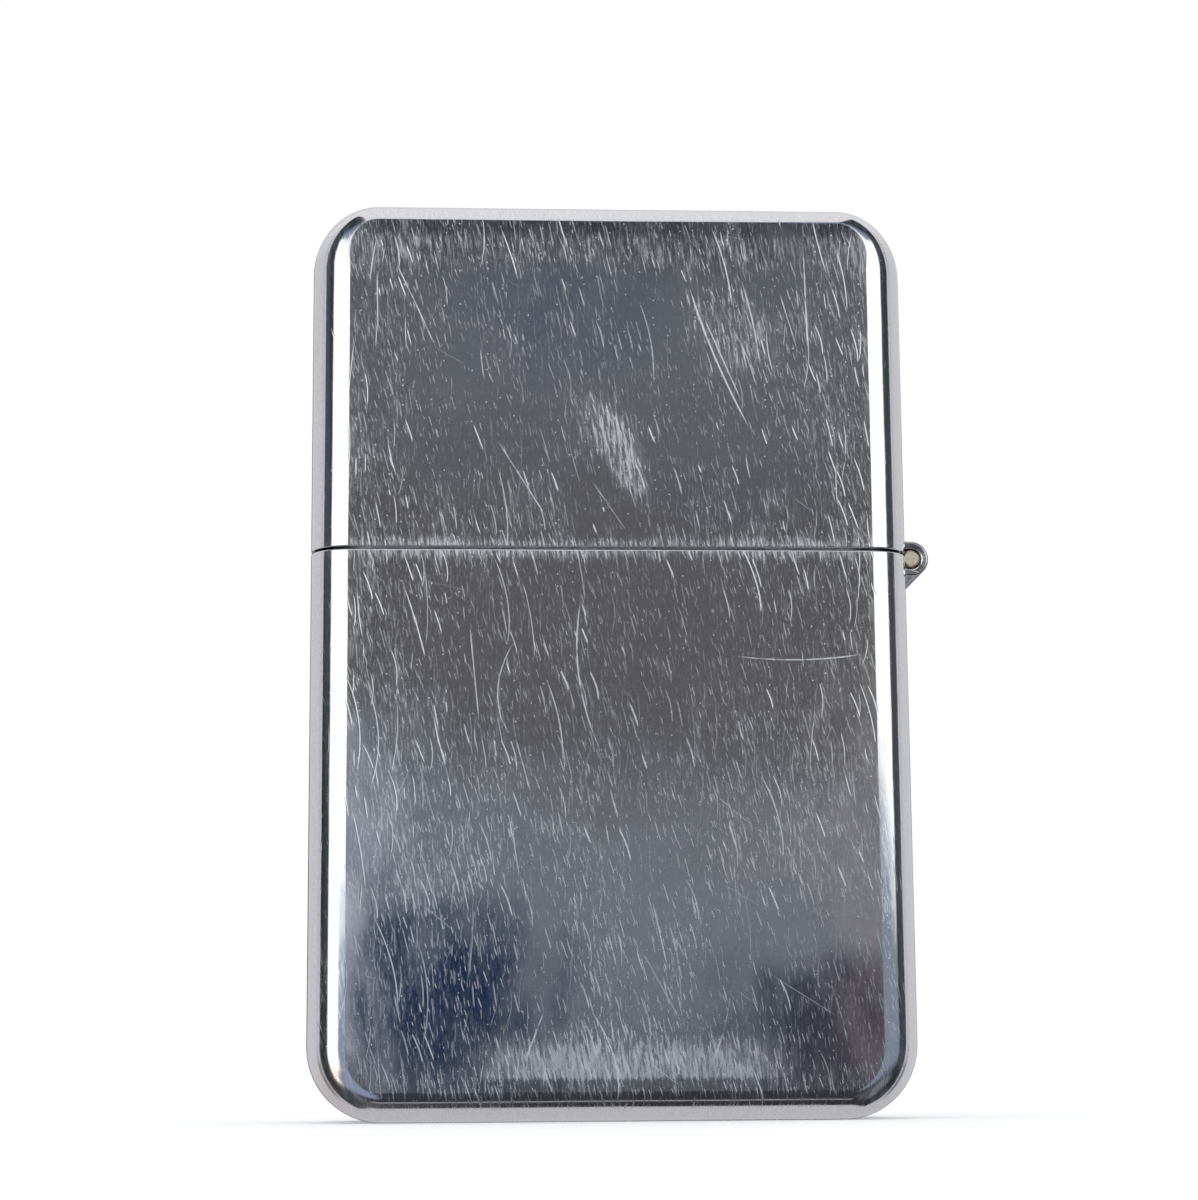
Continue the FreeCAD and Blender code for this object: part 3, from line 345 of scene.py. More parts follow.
class Skin:
    def __init__(self):
        self.verts, self.at, self.faces, self.normals = [], {}, [], []

    def v(self, p):
        k = tuple(int(round(c * 4000)) for c in p)
        if k not in self.at:
            self.at[k] = len(self.verts)
            self.verts.append(tuple(p))
        return self.at[k]

    def face(self, pts, nrm):
        ids, ns = [], []
        for p, n in zip(pts, nrm):
            i = self.v(p)
            if ids and ids[-1] == i:
                continue
            ids.append(i)
            ns.append(Vector(n))
        if len(ids) > 1 and ids[0] == ids[-1]:
            ids.pop()
            ns.pop()
        if len(ids) < 3 or len(set(ids)) < len(ids):
            return
        newell = Vector((0, 0, 0))
        for a, b in zip(ids, ids[1:] + ids[:1]):
            p, q = self.verts[a], self.verts[b]
            newell += Vector(((p[1] - q[1]) * (p[2] + q[2]), (p[2] - q[2]) * (p[0] + q[0]), (p[0] - q[0]) * (p[1] + q[1])))
        mean = Vector((0, 0, 0))
        for n in ns:
            mean += n
        if newell.dot(mean) < 0:
            ids.reverse()
            ns.reverse()
        self.faces.append(ids)
        self.normals.append([n.normalized() for n in ns])

    def build(self, name, mat):
        mesh = bpy.data.meshes.new(name)
        mesh.from_pydata([Vector(p) * MM for p in self.verts], [], self.faces)
        mesh.polygons.foreach_set("use_smooth", [True] * len(mesh.polygons))
        mesh.normals_split_custom_set([n for face in self.normals for n in face])
        mesh.materials.append(mat)
        o = bpy.data.objects.new(name, mesh)
        scene.collection.objects.link(o)
        return o


def smooth01(t):
    t = min(1.0, max(0.0, t))
    return t * t * (3 - 2 * t)


def outline(half, height, radius, r_side, r_end, stops, steps=18):
    """Rows of a cup's silhouette, from the +X rim round the closed end to the -X rim.
    Each is (x, depth from the closed end, normal x, normal depth, edge radius, its slope, tangent, corner radius)."""
    rows = []
    grow = (r_end - r_side) / (radius * PI / 2)
    for h in stops:
        rows.append((half, h, 1.0, 0.0, r_side, 0.0, (0.0, -1.0), None))
    for i in range(steps + 1):
        a = i / steps * PI / 2
        u = i / steps
        rows.append((half - radius + radius * math.cos(a), radius - radius * math.sin(a), math.cos(a), -math.sin(a),
                     r_side + (r_end - r_side) * smooth01(u), grow * 6 * u * (1 - u),
                     (-math.sin(a), -math.cos(a)), radius))
    for i in range(steps + 1):
        a = i / steps * PI / 2
        u = i / steps
        rows.append((-(half - radius) - radius * math.sin(a), radius - radius * math.cos(a), -math.sin(a), -math.cos(a),
                     r_end + (r_side - r_end) * smooth01(u), -grow * 6 * u * (1 - u),
                     (-math.cos(a), math.sin(a)), radius))
    for h in reversed(stops):
        rows.append((-half, h, -1.0, 0.0, r_side, 0.0, (0.0, 1.0), None))
    return rows


def section(deep, r_side, notch_half, steps=12):
    """Columns across the edge: (angle, side) from the front plane to the back one, and the notch's two columns."""
    notch = math.acos(max(-1.0, 1 - (deep - notch_half) / r_side))
    half = [i / steps * PI / 2 for i in range(steps)]
    if notch - half[-1] < 0.02:
        half[-1] = (half[-2] + notch) / 2
    half = half + [notch, PI / 2]
    cols = [(a, -1) for a in half] + [(a, 1) for a in reversed(half)]
    k = len(half) - 2
    return cols, k, len(cols) - 1 - k


def at(row, col, deep):
    x, h, nx, nh, r, slope, tan, radius = row
    a, sgn = col
    s, c = math.sin(a), math.cos(a)
    p = (x - nx * r * (1 - s), sgn * (deep - r * (1 - c)), h - nh * r * (1 - s))
    stretch = 1 - (r * (1 - s) / radius if radius else 0)
    k = slope * (s + c - 1) / max(stretch, 0.05)
    n = Vector((nx * s + tan[0] * k, sgn * c, nh * s + tan[1] * k)).normalized()
    return p, n


def rounded(hw, hd, rc, m):
    """A rounded rectangle, corner by corner: [[(x, y, nx, ny), ...], ...]."""
    out = []
    for cx, cy, a0 in ((hw - rc, hd - rc, 0), (-(hw - rc), hd - rc, 90), (-(hw - rc), -(hd - rc), 180), (hw - rc, -(hd - rc), 270)):
        arc = []
        for i in range(m + 1):
            a = math.radians(a0 + 90 * i / m)
            arc.append((cx + rc * math.cos(a), cy + rc * math.sin(a), math.cos(a), math.sin(a)))
        out.append(arc)
    return out


def cup(name, mat, height, radius, r_side, r_end, in_end, in_radius, in_side, in_close, notch, place, recess=None):
    """One half of the outer case: a drawn cup with rounded edges, open at its rim."""
    W, D, wall, rho, nh = 18.65, 6.5, 0.65, 0.09, 4.25
    iw, idp = W - wall, D - wall
    sk = Skin()

    def put(pts, nrm):
        sk.face([(p[0], p[1], place(p[2])) for p in pts],
                [(n[0], n[1], n[2] * (1 if place(1) > place(0) else -1)) for n in nrm])

    outer = outline(W, height, radius, r_side, r_end, [height - rho, height - notch, radius + 6.0])
    cols, j1, j2 = section(D, r_side, nh)
    inner = [(x, h + in_end) + r[2:] for r in outline(iw, height, in_radius, in_side, in_close, [height - in_end, height - notch - in_end, in_radius + 6.0])
             for x, h in [(r[0], r[1])]]
    icols, _, _ = section(idp, in_side, nh)

    def grid(rows, cs, deep, flip, skip_flat):
        mid = len(rows) // 2 - 1            # the flat stretch of the closed end
        flat = len(cs) // 2 - 1             # the flat stretch of the side
        for i in range(len(rows) - 1):
            for j in range(len(cs) - 1):
                if i == 0 and j1 <= j < j2:
                    continue
                if skip_flat and i == mid and j == flat:
                    continue
                q = [at(rows[i], cs[j], deep), at(rows[i + 1], cs[j], deep), at(rows[i + 1], cs[j + 1], deep), at(rows[i], cs[j + 1], deep)]
                put([p for p, _ in q], [n * flip for _, n in q])
        for col, sgn in ((cs[0], -1), (cs[-1], 1)):
            pts = [at(r, col, deep)[0] for r in rows]
            put(pts, [(0, sgn * flip, 0)] * len(pts))

    grid(outer, cols, D, 1, recess is not None)
    grid(inner, icols, idp, -1, False)

    # rim: rounded outer edge, then flat across the wall
    def loop(rows, cs, deep):
        return [at(rows[0], c, deep) for c in cs] + [at(rows[-1], c, deep) for c in reversed(cs)]

    lo, li = loop(outer, cols, D), loop(inner, icols, idp)
    taus = [i / 4 * PI / 2 for i in range(5)]

    def rim(k, t):
        p, n = lo[k]
        e = rho * (1 - math.cos(t))
        return (p[0] - n[0] * e, p[1] - n[1] * e, height - rho + rho * math.sin(t)), n * math.cos(t) + Vector((0, 0, math.sin(t)))

    count = len(lo)
    for k in range(count):
        m = (k + 1) % count
        if j1 <= k < j2:
            continue
        for a, b in zip(taus, taus[1:]):
            q = [rim(k, a), rim(m, a), rim(m, b), rim(k, b)]
            put([p for p, _ in q], [n for _, n in q])
        put([rim(k, taus[-1])[0], rim(m, taus[-1])[0], li[m][0], li[k][0]], [(0, 0, 1)] * 4)
    # hinge notch: two cheeks and a floor
    for j, s in ((j1, 1), (j2, -1)):
        pts = [at(outer[1], cols[j], D)[0]] + [rim(j, t)[0] for t in taus] + [li[j][0], at(inner[1], icols[j], idp)[0]]
        put(pts, [(0, s, 0)] * len(pts))
    for j in range(j1, j2):
        pts = [at(outer[1], cols[j], D)[0], at(outer[1], cols[j + 1], D)[0], at(inner[1], icols[j + 1], idp)[0], at(inner[1], icols[j], idp)[0]]
        put(pts, [(0, 0, 1)] * 4)

    if recess:
        hw, hd, rc, deep = recess
        e, m = 0.14, 8
        corners = [(W - radius, D - r_end), (-(W - radius), D - r_end), (-(W - radius), -(D - r_end)), (W - radius, -(D - r_end))]

        def ring(off, h):
            return [[(x + nx * off, y + ny * off, h) for x, y, nx, ny in arc] for arc in rounded(hw, hd, rc, m)]

        base = rounded(hw, hd, rc, m)
        prev = None
        stages = [(e * (1 - math.sin(t)), e * (1 - math.cos(t)), math.sin(t), -math.cos(t)) for t in taus]
        stages += [(-e * (1 - math.cos(t)), deep - e + e * math.sin(t), math.cos(t), -math.sin(t)) for t in taus]
        rings = []
        for off, h, side, axial in stages:
            pts = [q for arc in ring(off, h) for q in arc]
            nrm = [(-nx * side, -ny * side, axial) for arc in base for _, _, nx, ny in arc]
            rings.append((pts, nrm))
        for (pa, na), (pb, nb) in zip(rings, rings[1:]):
            n = len(pa)
            for k in range(n):
                q = (k + 1) % n
                put([pa[k], pa[q], pb[q], pb[k]], [na[k], na[q], nb[q], nb[k]])
        put(rings[-1][0], [(0, 0, -1)] * len(rings[-1][0]))
        top = ring(e, 0.0)
        for c in range(4):
            cx, cy = corners[c]
            for a, b in zip(top[c], top[c][1:]):
                put([(cx, cy, 0.0), a, b], [(0, 0, -1)] * 3)
            nx_, ny_ = corners[(c + 1) % 4]
            put([(cx, cy, 0.0), top[c][-1], top[(c + 1) % 4][0], (nx_, ny_, 0.0)], [(0, 0, -1)] * 4)
    return sk.build(name, mat)


# ---------------------------------------------------------------------------
# Finishes

def material(name):
    m = bpy.data.materials.new(name)
    m.use_nodes = True
    m.node_tree.nodes.clear()
    g = Graph(m.node_tree)
    p = g.node("ShaderNodeBsdfPrincipled")
    o = g.node("ShaderNodeOutputMaterial")
    g.t.links.new(p.outputs[0], o.inputs[0])
    return m, g, p


def coords(g):
    """Place in the piece, in millimetres, and its own normal."""
    tc = g.node("ShaderNodeTexCoord")
    p = g.vec("SCALE", g.out(tc, 3), scale=1000.0)
    return p, g.out(tc, 1)


def bump(g, p, height, dist, strength=1.0):
    b = g.node("ShaderNodeBump")
    b.inputs["Strength"].default_value = strength
    b.inputs["Distance"].default_value = dist
    g.put(b.inputs["Height"], height)
    g.t.links.new(b.outputs[0], p.inputs["Normal"])


def scratch(g, a, b, wide, long, tilt, share, seed, thick, density=None, lean=0.0, bow=0.0):
    """Fine straight scratches along b, one in some of the cells of the (a, b) plane, in mm.
    share is how many cells hold one, tilt how far they splay, lean which way they lean on the whole."""
    v = g.join(a * (1.0 / wide) + seed * 7.31, b * (1.0 / long) + seed * 3.17, 0.0)
    n = g.voronoi(v, 1.0, "F1", 1.0, "2D")
    ox, oy, _ = g.split(g.vec("SUBTRACT", v, g.out(n, 2)))
    r1, r2, r3 = g.split(g.out(n, 1))
    ax = ox * wide + oy * ((r1 - 0.5) * (2 * tilt * long) + lean * long)
    if bow:
        ax = ax + oy * oy * (r3 - 0.5) * (bow * long)
    ends = g.ss(g.ab(oy) - r3 * 0.30, 0.20, 0.0)
    line = g.ss(g.ab(ax) + (1.0 - ends) * (thick * 0.9), thick * 1.25, thick * 0.2)
    lim = share if density is None else density * share
    on = g.math("GREATER_THAN", lim, r2)
    return line * ends * on * (r1 * r1 * 0.75 + 0.30)


def strokes(g, px, pz, lines):
    """Long single scratches on the front face, each an arc through three of its points, in mm."""
    best = None
    for pts, thick, power in lines:
        upright = abs(pts[-1][1] - pts[0][1]) > abs(pts[-1][0] - pts[0][0])
        run = [(q[1], q[0]) if upright else (q[0], q[1]) for q in pts]
        (t0, v0), (t2, v2) = run[0], run[-1]
        if len(run) > 2:
            t1, v1 = run[len(run) // 2]
        else:
            t1, v1 = (t0 + t2) / 2, (v0 + v2) / 2
        k0 = v0 / ((t0 - t1) * (t0 - t2))
        k1 = v1 / ((t1 - t0) * (t1 - t2))
        k2 = v2 / ((t2 - t0) * (t2 - t1))
        c2 = k0 + k1 + k2
        c1 = -(k0 * (t1 + t2) + k1 * (t0 + t2) + k2 * (t0 + t1))
        c0 = k0 * t1 * t2 + k1 * t0 * t2 + k2 * t0 * t1
        t, v = (pz, px) if upright else (px, pz)
        q = g.math("MULTIPLY_ADD", g.math("MULTIPLY_ADD", t, c2, c1), t, c0)
        slope = math.hypot(1.0, (v2 - v0) / (t2 - t0))
        half = abs(t2 - t0) / 2
        e = g.ss(g.ab(t - (t0 + t2) / 2), half * 1.02, half * 0.55)
        near = g.ab(v - q) * (1 / slope) + (1.0 - e) * thick * 0.7
        m = g.ss(near, thick * 1.05, thick * 0.2) * e * power
        best = m if best is None else g.mx(best, m)
    return best


LID_LINES = [
    ([(4.76, 52.67), (7.25, 45.56), (9.26, 41.52)], 0.085, 1.0),
    ([(5.74, 50.14), (8.42, 43.83)], 0.06, 0.85),
    ([(12.29, 54.51), (12.46, 47.02)], 0.065, 0.9),
    ([(-13.8, 53.85), (-12.29, 50.69), (-10.59, 46.84)], 0.055, 0.8),
    ([(-7.36, 42.19), (-3.83, 36.5)], 0.06, 0.8),
    ([(-14.61, 52.74), (-14.52, 48.41)], 0.05, 0.85),
    ([(8.1, 52.9), (9.0, 49.4), (9.5, 45.9)], 0.07, 0.75),
    ([(7.6, 49.2), (8.8, 46.6), (9.2, 44.9)], 0.05, 0.7),
    ([(10.6, 51.8), (11.9, 47.3)], 0.045, 0.7),
    ([(-1.5, 39.6), (1.2, 35.6)], 0.05, 0.6),
]
CASE_LINES = [
    ([(-1.69, 32.79), (-2.2, 28.98), (-1.98, 26.13), (-1.2, 23.6), (-0.35, 21.32)], 0.07, 0.95),
    ([(-8.84, 30.59), (-8.17, 23.48)], 0.06, 0.85),
    ([(-5.71, 29.6), (-7.0, 26.74), (-6.46, 23.29)], 0.06, 0.75),
    ([(-6.09, 23.48), (-5.01, 19.43)], 0.06, 0.75),
    ([(6.74, 28.31), (10.27, 27.82), (12.76, 28.01), (16.25, 28.45)], 0.065, 0.75),
    ([(1.26, 10.81), (4.4, 5.05)], 0.055, 0.75),
    ([(7.06, 8.5), (6.59, 5.69), (5.58, 2.91)], 0.06, 0.75),
    ([(3.17, 13.76), (5.39, 6.24)], 0.05, 0.6),
    ([(8.53, 9.27), (13.88, 5.88)], 0.04, 0.55),
    ([(-6.3, 19.1), (-5.9, 15.4), (-5.4, 13.2)], 0.06, 0.7),
    ([(-4.2, 6.9), (-5.6, 3.3)], 0.075, 0.8),
]


def chrome(name, lines=()):
    m, g, p = material(name)
    pos, nrm = coords(g)
    x, y, z = g.split(pos)
    nx, ny, nz = g.split(nrm)
    front = g.ss(y, -6.2, -6.45)
    up = g.ab(nz)
    # unrolled round the upright edges, and over the flat ends
    end = g.math("GREATER_THAN", up, 0.7)
    turn = g.mx(g.math("SIGN", x), g.math("GREATER_THAN", y, 6.2)) * (1.0 - end)
    u = x + turn * (y + 6.5)
    tip = g.math("SIGN", z - 30.0) * end
    w = z + tip * (y + 6.5)
    uv = g.join(u, w, 0.0)

    patchy = g.noise(g.join(u, w * 0.6, 0.0), 0.16, 4.0, 0.62, kind="2D")
    patchy2 = g.noise(g.join(u * 0.9 + 31.0, w * 0.35, 0.0), 0.5, 3.0, 0.6, kind="2D")
    # two stretches low on either side have stayed clear
    hole = g.ss(g.vec("LENGTH", g.join((g.ab(x - 1.4) - 10.6) / 7.6, (z - 8.4) / 6.0, y * 0.4 + 2.6)), 1.15, 0.6)
    patchy = patchy - hole * 0.36
    patchy2 = patchy2 - hole * 0.25
    low = g.ss(z, 27.0, 10.0)
    calm = g.ss(z, 33.0, 38.5) * g.ss(patchy2, 0.62, 0.40) * 0.25
    dens = g.clamp(g.ss(patchy, 0.34, 0.62) * 0.64 + low * 0.25 + 0.30 - calm + g.ss(g.ab(z - 34.92), 1.9, 0.4) * 0.3) * (1.0 - hole * 0.4)

    s1 = scratch(g, u, w, 0.32, 1.7, 0.27, 0.95, 1.3, 0.044, dens, 0.11)
    s2 = scratch(g, u, w, 0.60, 2.9, 0.28, 0.80, 2.7, 0.046, dens, 0.12, 1.0)
    s3 = scratch(g, u, w, 1.5, 7.5, 0.24, 0.50, 4.1, 0.040, None, 0.08, 1.1)
    s4 = scratch(g, u, w, 0.20, 0.85, 0.28, 0.98, 5.9, 0.034, dens * 0.6 + 0.5, 0.08)
    s5 = scratch(g, w, u, 1.6, 4.5, 0.9, 0.16, 7.7, 0.038)
    s6 = scratch(g, w, u, 0.5, 1.8, 0.4, 0.7, 9.2, 0.045) * g.ss(up, 0.5, 0.9)
    s7 = scratch(g, u + 40.0, w, 0.9, 3.6, 0.55, 0.80, 3.3, 0.042, dens * (low * 0.9 + 0.15), -0.20, 1.0)
    s8 = scratch(g, u + 80.0, w, 0.45, 2.1, 0.25, 0.85, 6.6, 0.042, dens, 0.05)
    marks = g.mx(g.mx(g.mx(s1 * 0.46, s2 * 0.50), g.mx(s3 * 0.56, s4 * 0.46)), g.mx(g.mx(s5 * 0.34, s6 * 0.5), g.mx(s7 * 0.48, s8 * 0.48)))
    marks = marks * g.ss(g.ab(x), 17.0, 9.5, 0.60, 1.0) * (low * 0.5 + 1.0)
    if lines:
        own = strokes(g, x, z, lines) * front
        wear = g.noise(g.join(x, z * 0.3, 0.0), 2.2, 2.0, kind="2D")
        marks = g.mx(marks, own * g.ss(wear, 0.25, 0.5, 0.36, 0.80))
    dot = g.voronoi(uv, 1.15, "F1", 1.0, "2D")
    pit = g.ss(g.out(dot, 0), 0.065, 0.025) * g.math("GREATER_THAN", 0.22, g.split(g.out(dot, 1))[0])
    marks = g.mx(marks, pit * 0.6)

    # dulled patches: along the seam, by the ends, and where it rubs in a pocket
    fibre = g.noise(g.join((u + w * 0.12) * 5.5, w * 0.6, 0.0), 1.0, 3.0, 0.7, kind="2D")
    fibre = g.ss(fibre, 0.36, 0.70)
    wob = g.noise(g.join(u * 0.8, 3.0, 0.0), 1.0, 3.0, 0.6, kind="2D") * 1.6 - 0.8
    comb = g.noise(g.join(u * 3.2, 9.0, 0.0), 1.0, 2.0, 0.7, kind="2D") * 2.4 - 1.2
    seam = g.ss(g.ab(z - 34.92 + wob * 0.15), 1.0, 0.05)
    mid = g.ss(g.ab(x - 1.0), 11.0, 6.5)
    foot = g.ss(z + comb * 0.8, 5.8, 3.6) * g.ss(z, 2.35, 2.75) * mid
    head = g.ss(z + wob, 52.0, 53.8) * g.ss(z, 55.4, 54.6)
    lid_patch = g.ss(g.math("SQRT", g.math("POWER", g.ab((x - 0.4 + (z - 41.5) * 0.42) * g.ss(z, 37.5, 45.0, 0.62, 0.34)), 2.0)
                            + g.math("POWER", g.ab((z - 41.0) * 0.205), 2.0)), 1.0, 0.15) * front
    lid_patch2 = g.ss(g.math("SQRT", g.math("POWER", g.ab((x - 7.2 + (z - 49) * 0.3) * 0.26), 2.0)
                             + g.math("POWER", g.ab((z - 49.0) * 0.24), 2.0)), 1.0, 0.3) * front
    hazy = g.clamp(g.ss(patchy2, 0.44, 0.76) * 0.30 + low * g.ss(patchy, 0.30, 0.60) * 0.42)
    haze = g.clamp(foot * (fibre * 0.5 + 0.6) + (hazy + seam * 0.95 + head * 0.4 + lid_patch * 1.25 + lid_patch2 * 0.5) * (fibre * 0.8 + 0.2) * g.ss(g.ab(x), 17.5, 10.0, 0.45, 1.0))

    grain = g.noise(uv, 5.0, 3.0, 0.75, kind="2D")
    rough = 0.04 + grain * 0.04 + fibre * 0.035 + haze * 0.22 + marks * 0.36
    g.put(p.inputs["Roughness"], g.clamp(rough))
    col = g.mix(grain, (0.66, 0.66, 0.665, 1), (0.82, 0.825, 0.835, 1))
    col = g.mix(haze * 0.5, col, (0.82, 0.825, 0.835, 1))
    col = g.mix(marks, col, (0.94, 0.945, 0.95, 1))
    # the plating worn through to brass at the lower left corner
    brass = g.ss(g.math("SQRT", g.math("POWER", g.ab(x + 17.3), 2.0) + g.math("POWER", g.ab(z - 2.2), 2.0)) + patchy2 * 1.6, 3.4, 1.6) * g.ss(g.ab(y), 4.4, 5.9) * g.ss(x, -15.6, -16.8)
    col = g.mix(brass * 0.25, col, (0.80, 0.62, 0.44, 1))
    g.put(p.inputs["Base Color"], col)
    p.inputs["Metallic"].default_value = 1.0
    wave = g.noise(g.join(u, w * 0.7, 0.0), 0.22, 1.0, 0.4, kind="2D")
    bump(g, p, wave * 3.0 - g.mx(s2, s3) * 0.25, 0.00001, 1.0)
    return m


case_mat = chrome("case_chrome", CASE_LINES)
lid_mat = chrome("lid_chrome", LID_LINES)

case_skin = cup("case_skin", case_mat, 34.85, 4.6, 2.4, 1.8, 1.15, 3.95, 1.75, 1.15, 1.27, lambda h: h, (12.9, 3.9, 2.2, 0.5))
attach(case_skin, "case")
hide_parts("case_shell")
lid_skin = cup("lid_skin", lid_mat, 22.0, 4.1, 2.4, 1.1, 0.65, 3.45, 1.75, 0.45, 1.02, lambda h: 57.0 - h)
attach(lid_skin, "lid")
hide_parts("lid_shell")


# ---------------------------------------------------------------------------
# Metals and stuffs for the rest

def metal(name, dark, light, rough=0.25, brush=None, brush_power=0.10, spots=None, seed=0.0, marks=0.5, grain=0.4, extra=None):
    """A worn metal: cloudy tone, brushed lines along an axis, fine scratches, specks."""
    m, g, p = material(name)
    pos, nrm = coords(g)
    x, y, z = g.split(pos)
    cloud = g.noise(pos, 0.55, 4.0, 0.6)
    fine = g.noise(pos, 9.0, 3.0, 0.6)
    col = g.mix(g.ss(cloud, 0.3, 0.7), dark, light)
    r = rough + (cloud - 0.5) * 0.22 + (fine - 0.5) * 0.10
    h = fine * grain
    if brush:
        k = {"x": (0.5, 14.0, 14.0), "y": (14.0, 0.5, 14.0), "z": (14.0, 14.0, 0.5)}[brush]
        lines = g.noise(g.vec("MULTIPLY", pos, k), 1.0, 4.0, 0.7)
        r = r + (lines - 0.5) * brush_power * 2
        h = h + lines * 0.9
        col = g.mix(g.ss(lines, 0.35, 0.7) * 0.25, col, tuple(min(1.0, c * 1.15) for c in light[:3]) + (1,))
    s = scratch(g, x + y * 1.3, z, 0.9, 2.6, 0.6, 0.45, 2.0 + seed, 0.035)
    s2 = scratch(g, z + y * 0.7, x, 0.8, 2.2, 0.6, 0.35, 5.0 + seed, 0.03)
    both = g.mx(s, s2) * marks
    r = r + both * 0.25
    col = g.mix(both * 0.8, col, tuple(min(1.0, c * 1.25 + 0.05) for c in light[:3]) + (1,))
    if spots:
        sp = g.noise(pos, 1.7, 5.0, 0.65)
        f = g.ss(sp, 0.55, 0.72)
        col = g.mix(f * 0.8, col, spots)
        r = r + f * 0.18
    if extra:
        col, r = extra(g, x, y, z, nrm, col, r, cloud, fine)
    g.put(p.inputs["Base Color"], col)
    g.put(p.inputs["Roughness"], g.clamp(r))
    p.inputs["Metallic"].default_value = 1.0
    bump(g, p, h - both * 0.6, 0.00002, 0.6)
    return m


def painted_hinge_shade(g, x, y, z, nrm, col, r, cloud, fine):
    # painted shade: dark colour at the neck of the leaf, along the rim of the end and round the pin, standing in for
    # the shade that falls there
    d = g.vec("LENGTH", g.join(x - 19.1, 0.0, z - 34.8))
    flat = g.ss(g.ab(g.split(nrm)[1]), 0.2, 0.7)
    painted_shade = g.mx(g.ss(d, 1.18, 1.34) * 0.85, g.mx(g.ss(d, 0.96, 1.08) * 0.55, g.ss(d, 0.70, 0.58) * 0.8) * flat)
    return g.mix(painted_shade, col, rgb(52, 48, 44)), r + painted_shade * 0.15


def heat(g, x, y, z, nrm, col, r, cloud, fine):
    """Straw and blue heat colours, with soot round the mouth and the vents."""
    up = g.ss(z + (cloud - 0.5) * 5.0, 43.0, 51.0)
    col = g.mix(up * 0.65, col, rgb(176, 150, 112))
    blue = g.ss(g.ab(z - 47.2 + (cloud - 0.5) * 6.0), 2.2, 0.2)
    col = g.mix(blue * 0.45, col, rgb(112, 120, 158))
    soot = g.ss(z + (fine - 0.5) * 2.5, 50.6, 52.4) * g.ss(x, 9.6, -3.0)
    near = None
    for vx, vz in ((-0.1, 41.6), (3.4, 41.6), (6.9, 41.6), (-0.1, 48.2), (3.4, 48.2), (6.9, 48.2), (1.65, 44.9), (5.15, 44.9)):
        d = g.vec("LENGTH", g.join(x - vx, z - vz, 0.0))
        near = d if near is None else g.mn(near, d)
    ring = g.ss(near + (fine - 0.5) * 0.6, 1.75, 1.1)
    f = g.clamp(soot * 0.75 + ring * 0.45)
    col = g.mix(f, col, rgb(52, 44, 38))
    return col, r + f * 0.35


def gritty(g, x, y, z, nrm, col, r, cloud, fine):
    """Flint dust packed in the cuts of the wheel; the crests rubbed bright."""
    rad = g.vec("LENGTH", g.join(x + 9.5, z - 45.6, 0.0))
    crest = g.ss(rad, 3.62, 3.88)
    dust = g.ss(rad, 3.72, 3.55) * g.ss(rad, 3.0, 3.3) * g.ss(fine, 0.35, 0.6)
    col = g.mix(dust * 0.7, col, rgb(64, 52, 44))
    col = g.mix(crest * 0.6, col, rgb(176, 172, 168))
    return col, r + dust * 0.3 - crest * 0.10


mats = {
    # the hinge finish carries painted shade at the leaf's neck, the knuckle rims and round the pin
    "hinge_metal": metal("hinge_plate", rgb(206, 208, 210), rgb(228, 230, 232), 0.06, None, 0.0, rgb(170, 160, 140), 1.0, 0.15, 0.03, painted_hinge_shade),
    "hinge_brass": metal("hinge_pin_brass", rgb(216, 202, 172), rgb(242, 234, 212), 0.42, "y", 0.05, rgb(196, 148, 128), 2.0, 0.9),
    "insert_steel": metal("insert_satin", rgb(206, 207, 208), rgb(228, 229, 230), 0.37, "z", 0.10, None, 3.0),
    "plate_steel": metal("insert_top_satin", rgb(200, 200, 200), rgb(224, 224, 224), 0.42, "x", 0.10, rgb(118, 104, 88), 3.5),
    "chimney_steel": metal("chimney_satin", rgb(204, 205, 207), rgb(228, 228, 228), 0.37, "x", 0.10, None, 4.0, 0.6, 0.4, heat),
    "spring_steel": metal("spring_temper", rgb(172, 174, 182), rgb(208, 210, 216), 0.36, "x", 0.06, rgb(110, 92, 74), 5.0),
    "cam_steel": metal("cam_pressed", rgb(200, 200, 202), rgb(226, 226, 226), 0.40, "z", 0.06, rgb(122, 104, 84), 6.0),
    "rivet_steel": metal("rivet_heads", rgb(198, 198, 198), rgb(226, 226, 226), 0.36, None, 0.05, rgb(128, 112, 92), 7.0),
    "wheel_steel": metal("striker_steel", rgb(118, 114, 112), rgb(168, 164, 160), 0.42, "y", 0.08, rgb(92, 66, 48), 8.0, 0.4, 0.8, gritty),
    "tube_brass": metal("tube_drawn_brass", rgb(168, 134, 78), rgb(208, 176, 112), 0.28, "z", 0.08, rgb(110, 84, 56), 9.0),
    "screw_brass": metal("screw_turned_brass", rgb(176, 142, 84), rgb(214, 184, 120), 0.26, None, 0.05, rgb(110, 84, 56), 10.0),
    "flint_alloy": metal("flint_rod", rgb(74, 70, 68), rgb(112, 106, 100), 0.55, None, 0.05, rgb(60, 48, 40), 11.0, 0.3, 1.6),
}

for node, key in (("hinge_pin", "hinge_brass"), ("insert_shell", "insert_steel"), ("insert_top_plate", "plate_steel"),
                  ("chimney", "chimney_steel"), ("cam_rivet", "rivet_steel"), ("cam_spring", "spring_steel"),
                  ("cam_spring_rivet", "rivet_steel"), ("wheel_rivet", "rivet_steel"), ("flint_tube", "tube_brass"),
                  ("flint_screw", "screw_brass"), ("cam_lever", "cam_steel"), ("flint", "flint_alloy"), ("flint_pusher", "tube_brass")):
    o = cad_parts[node]
    if o.material_slots:
        for sl in o.material_slots:
            sl.material = mats[key]
    else:
        o.data.materials.append(mats[key])


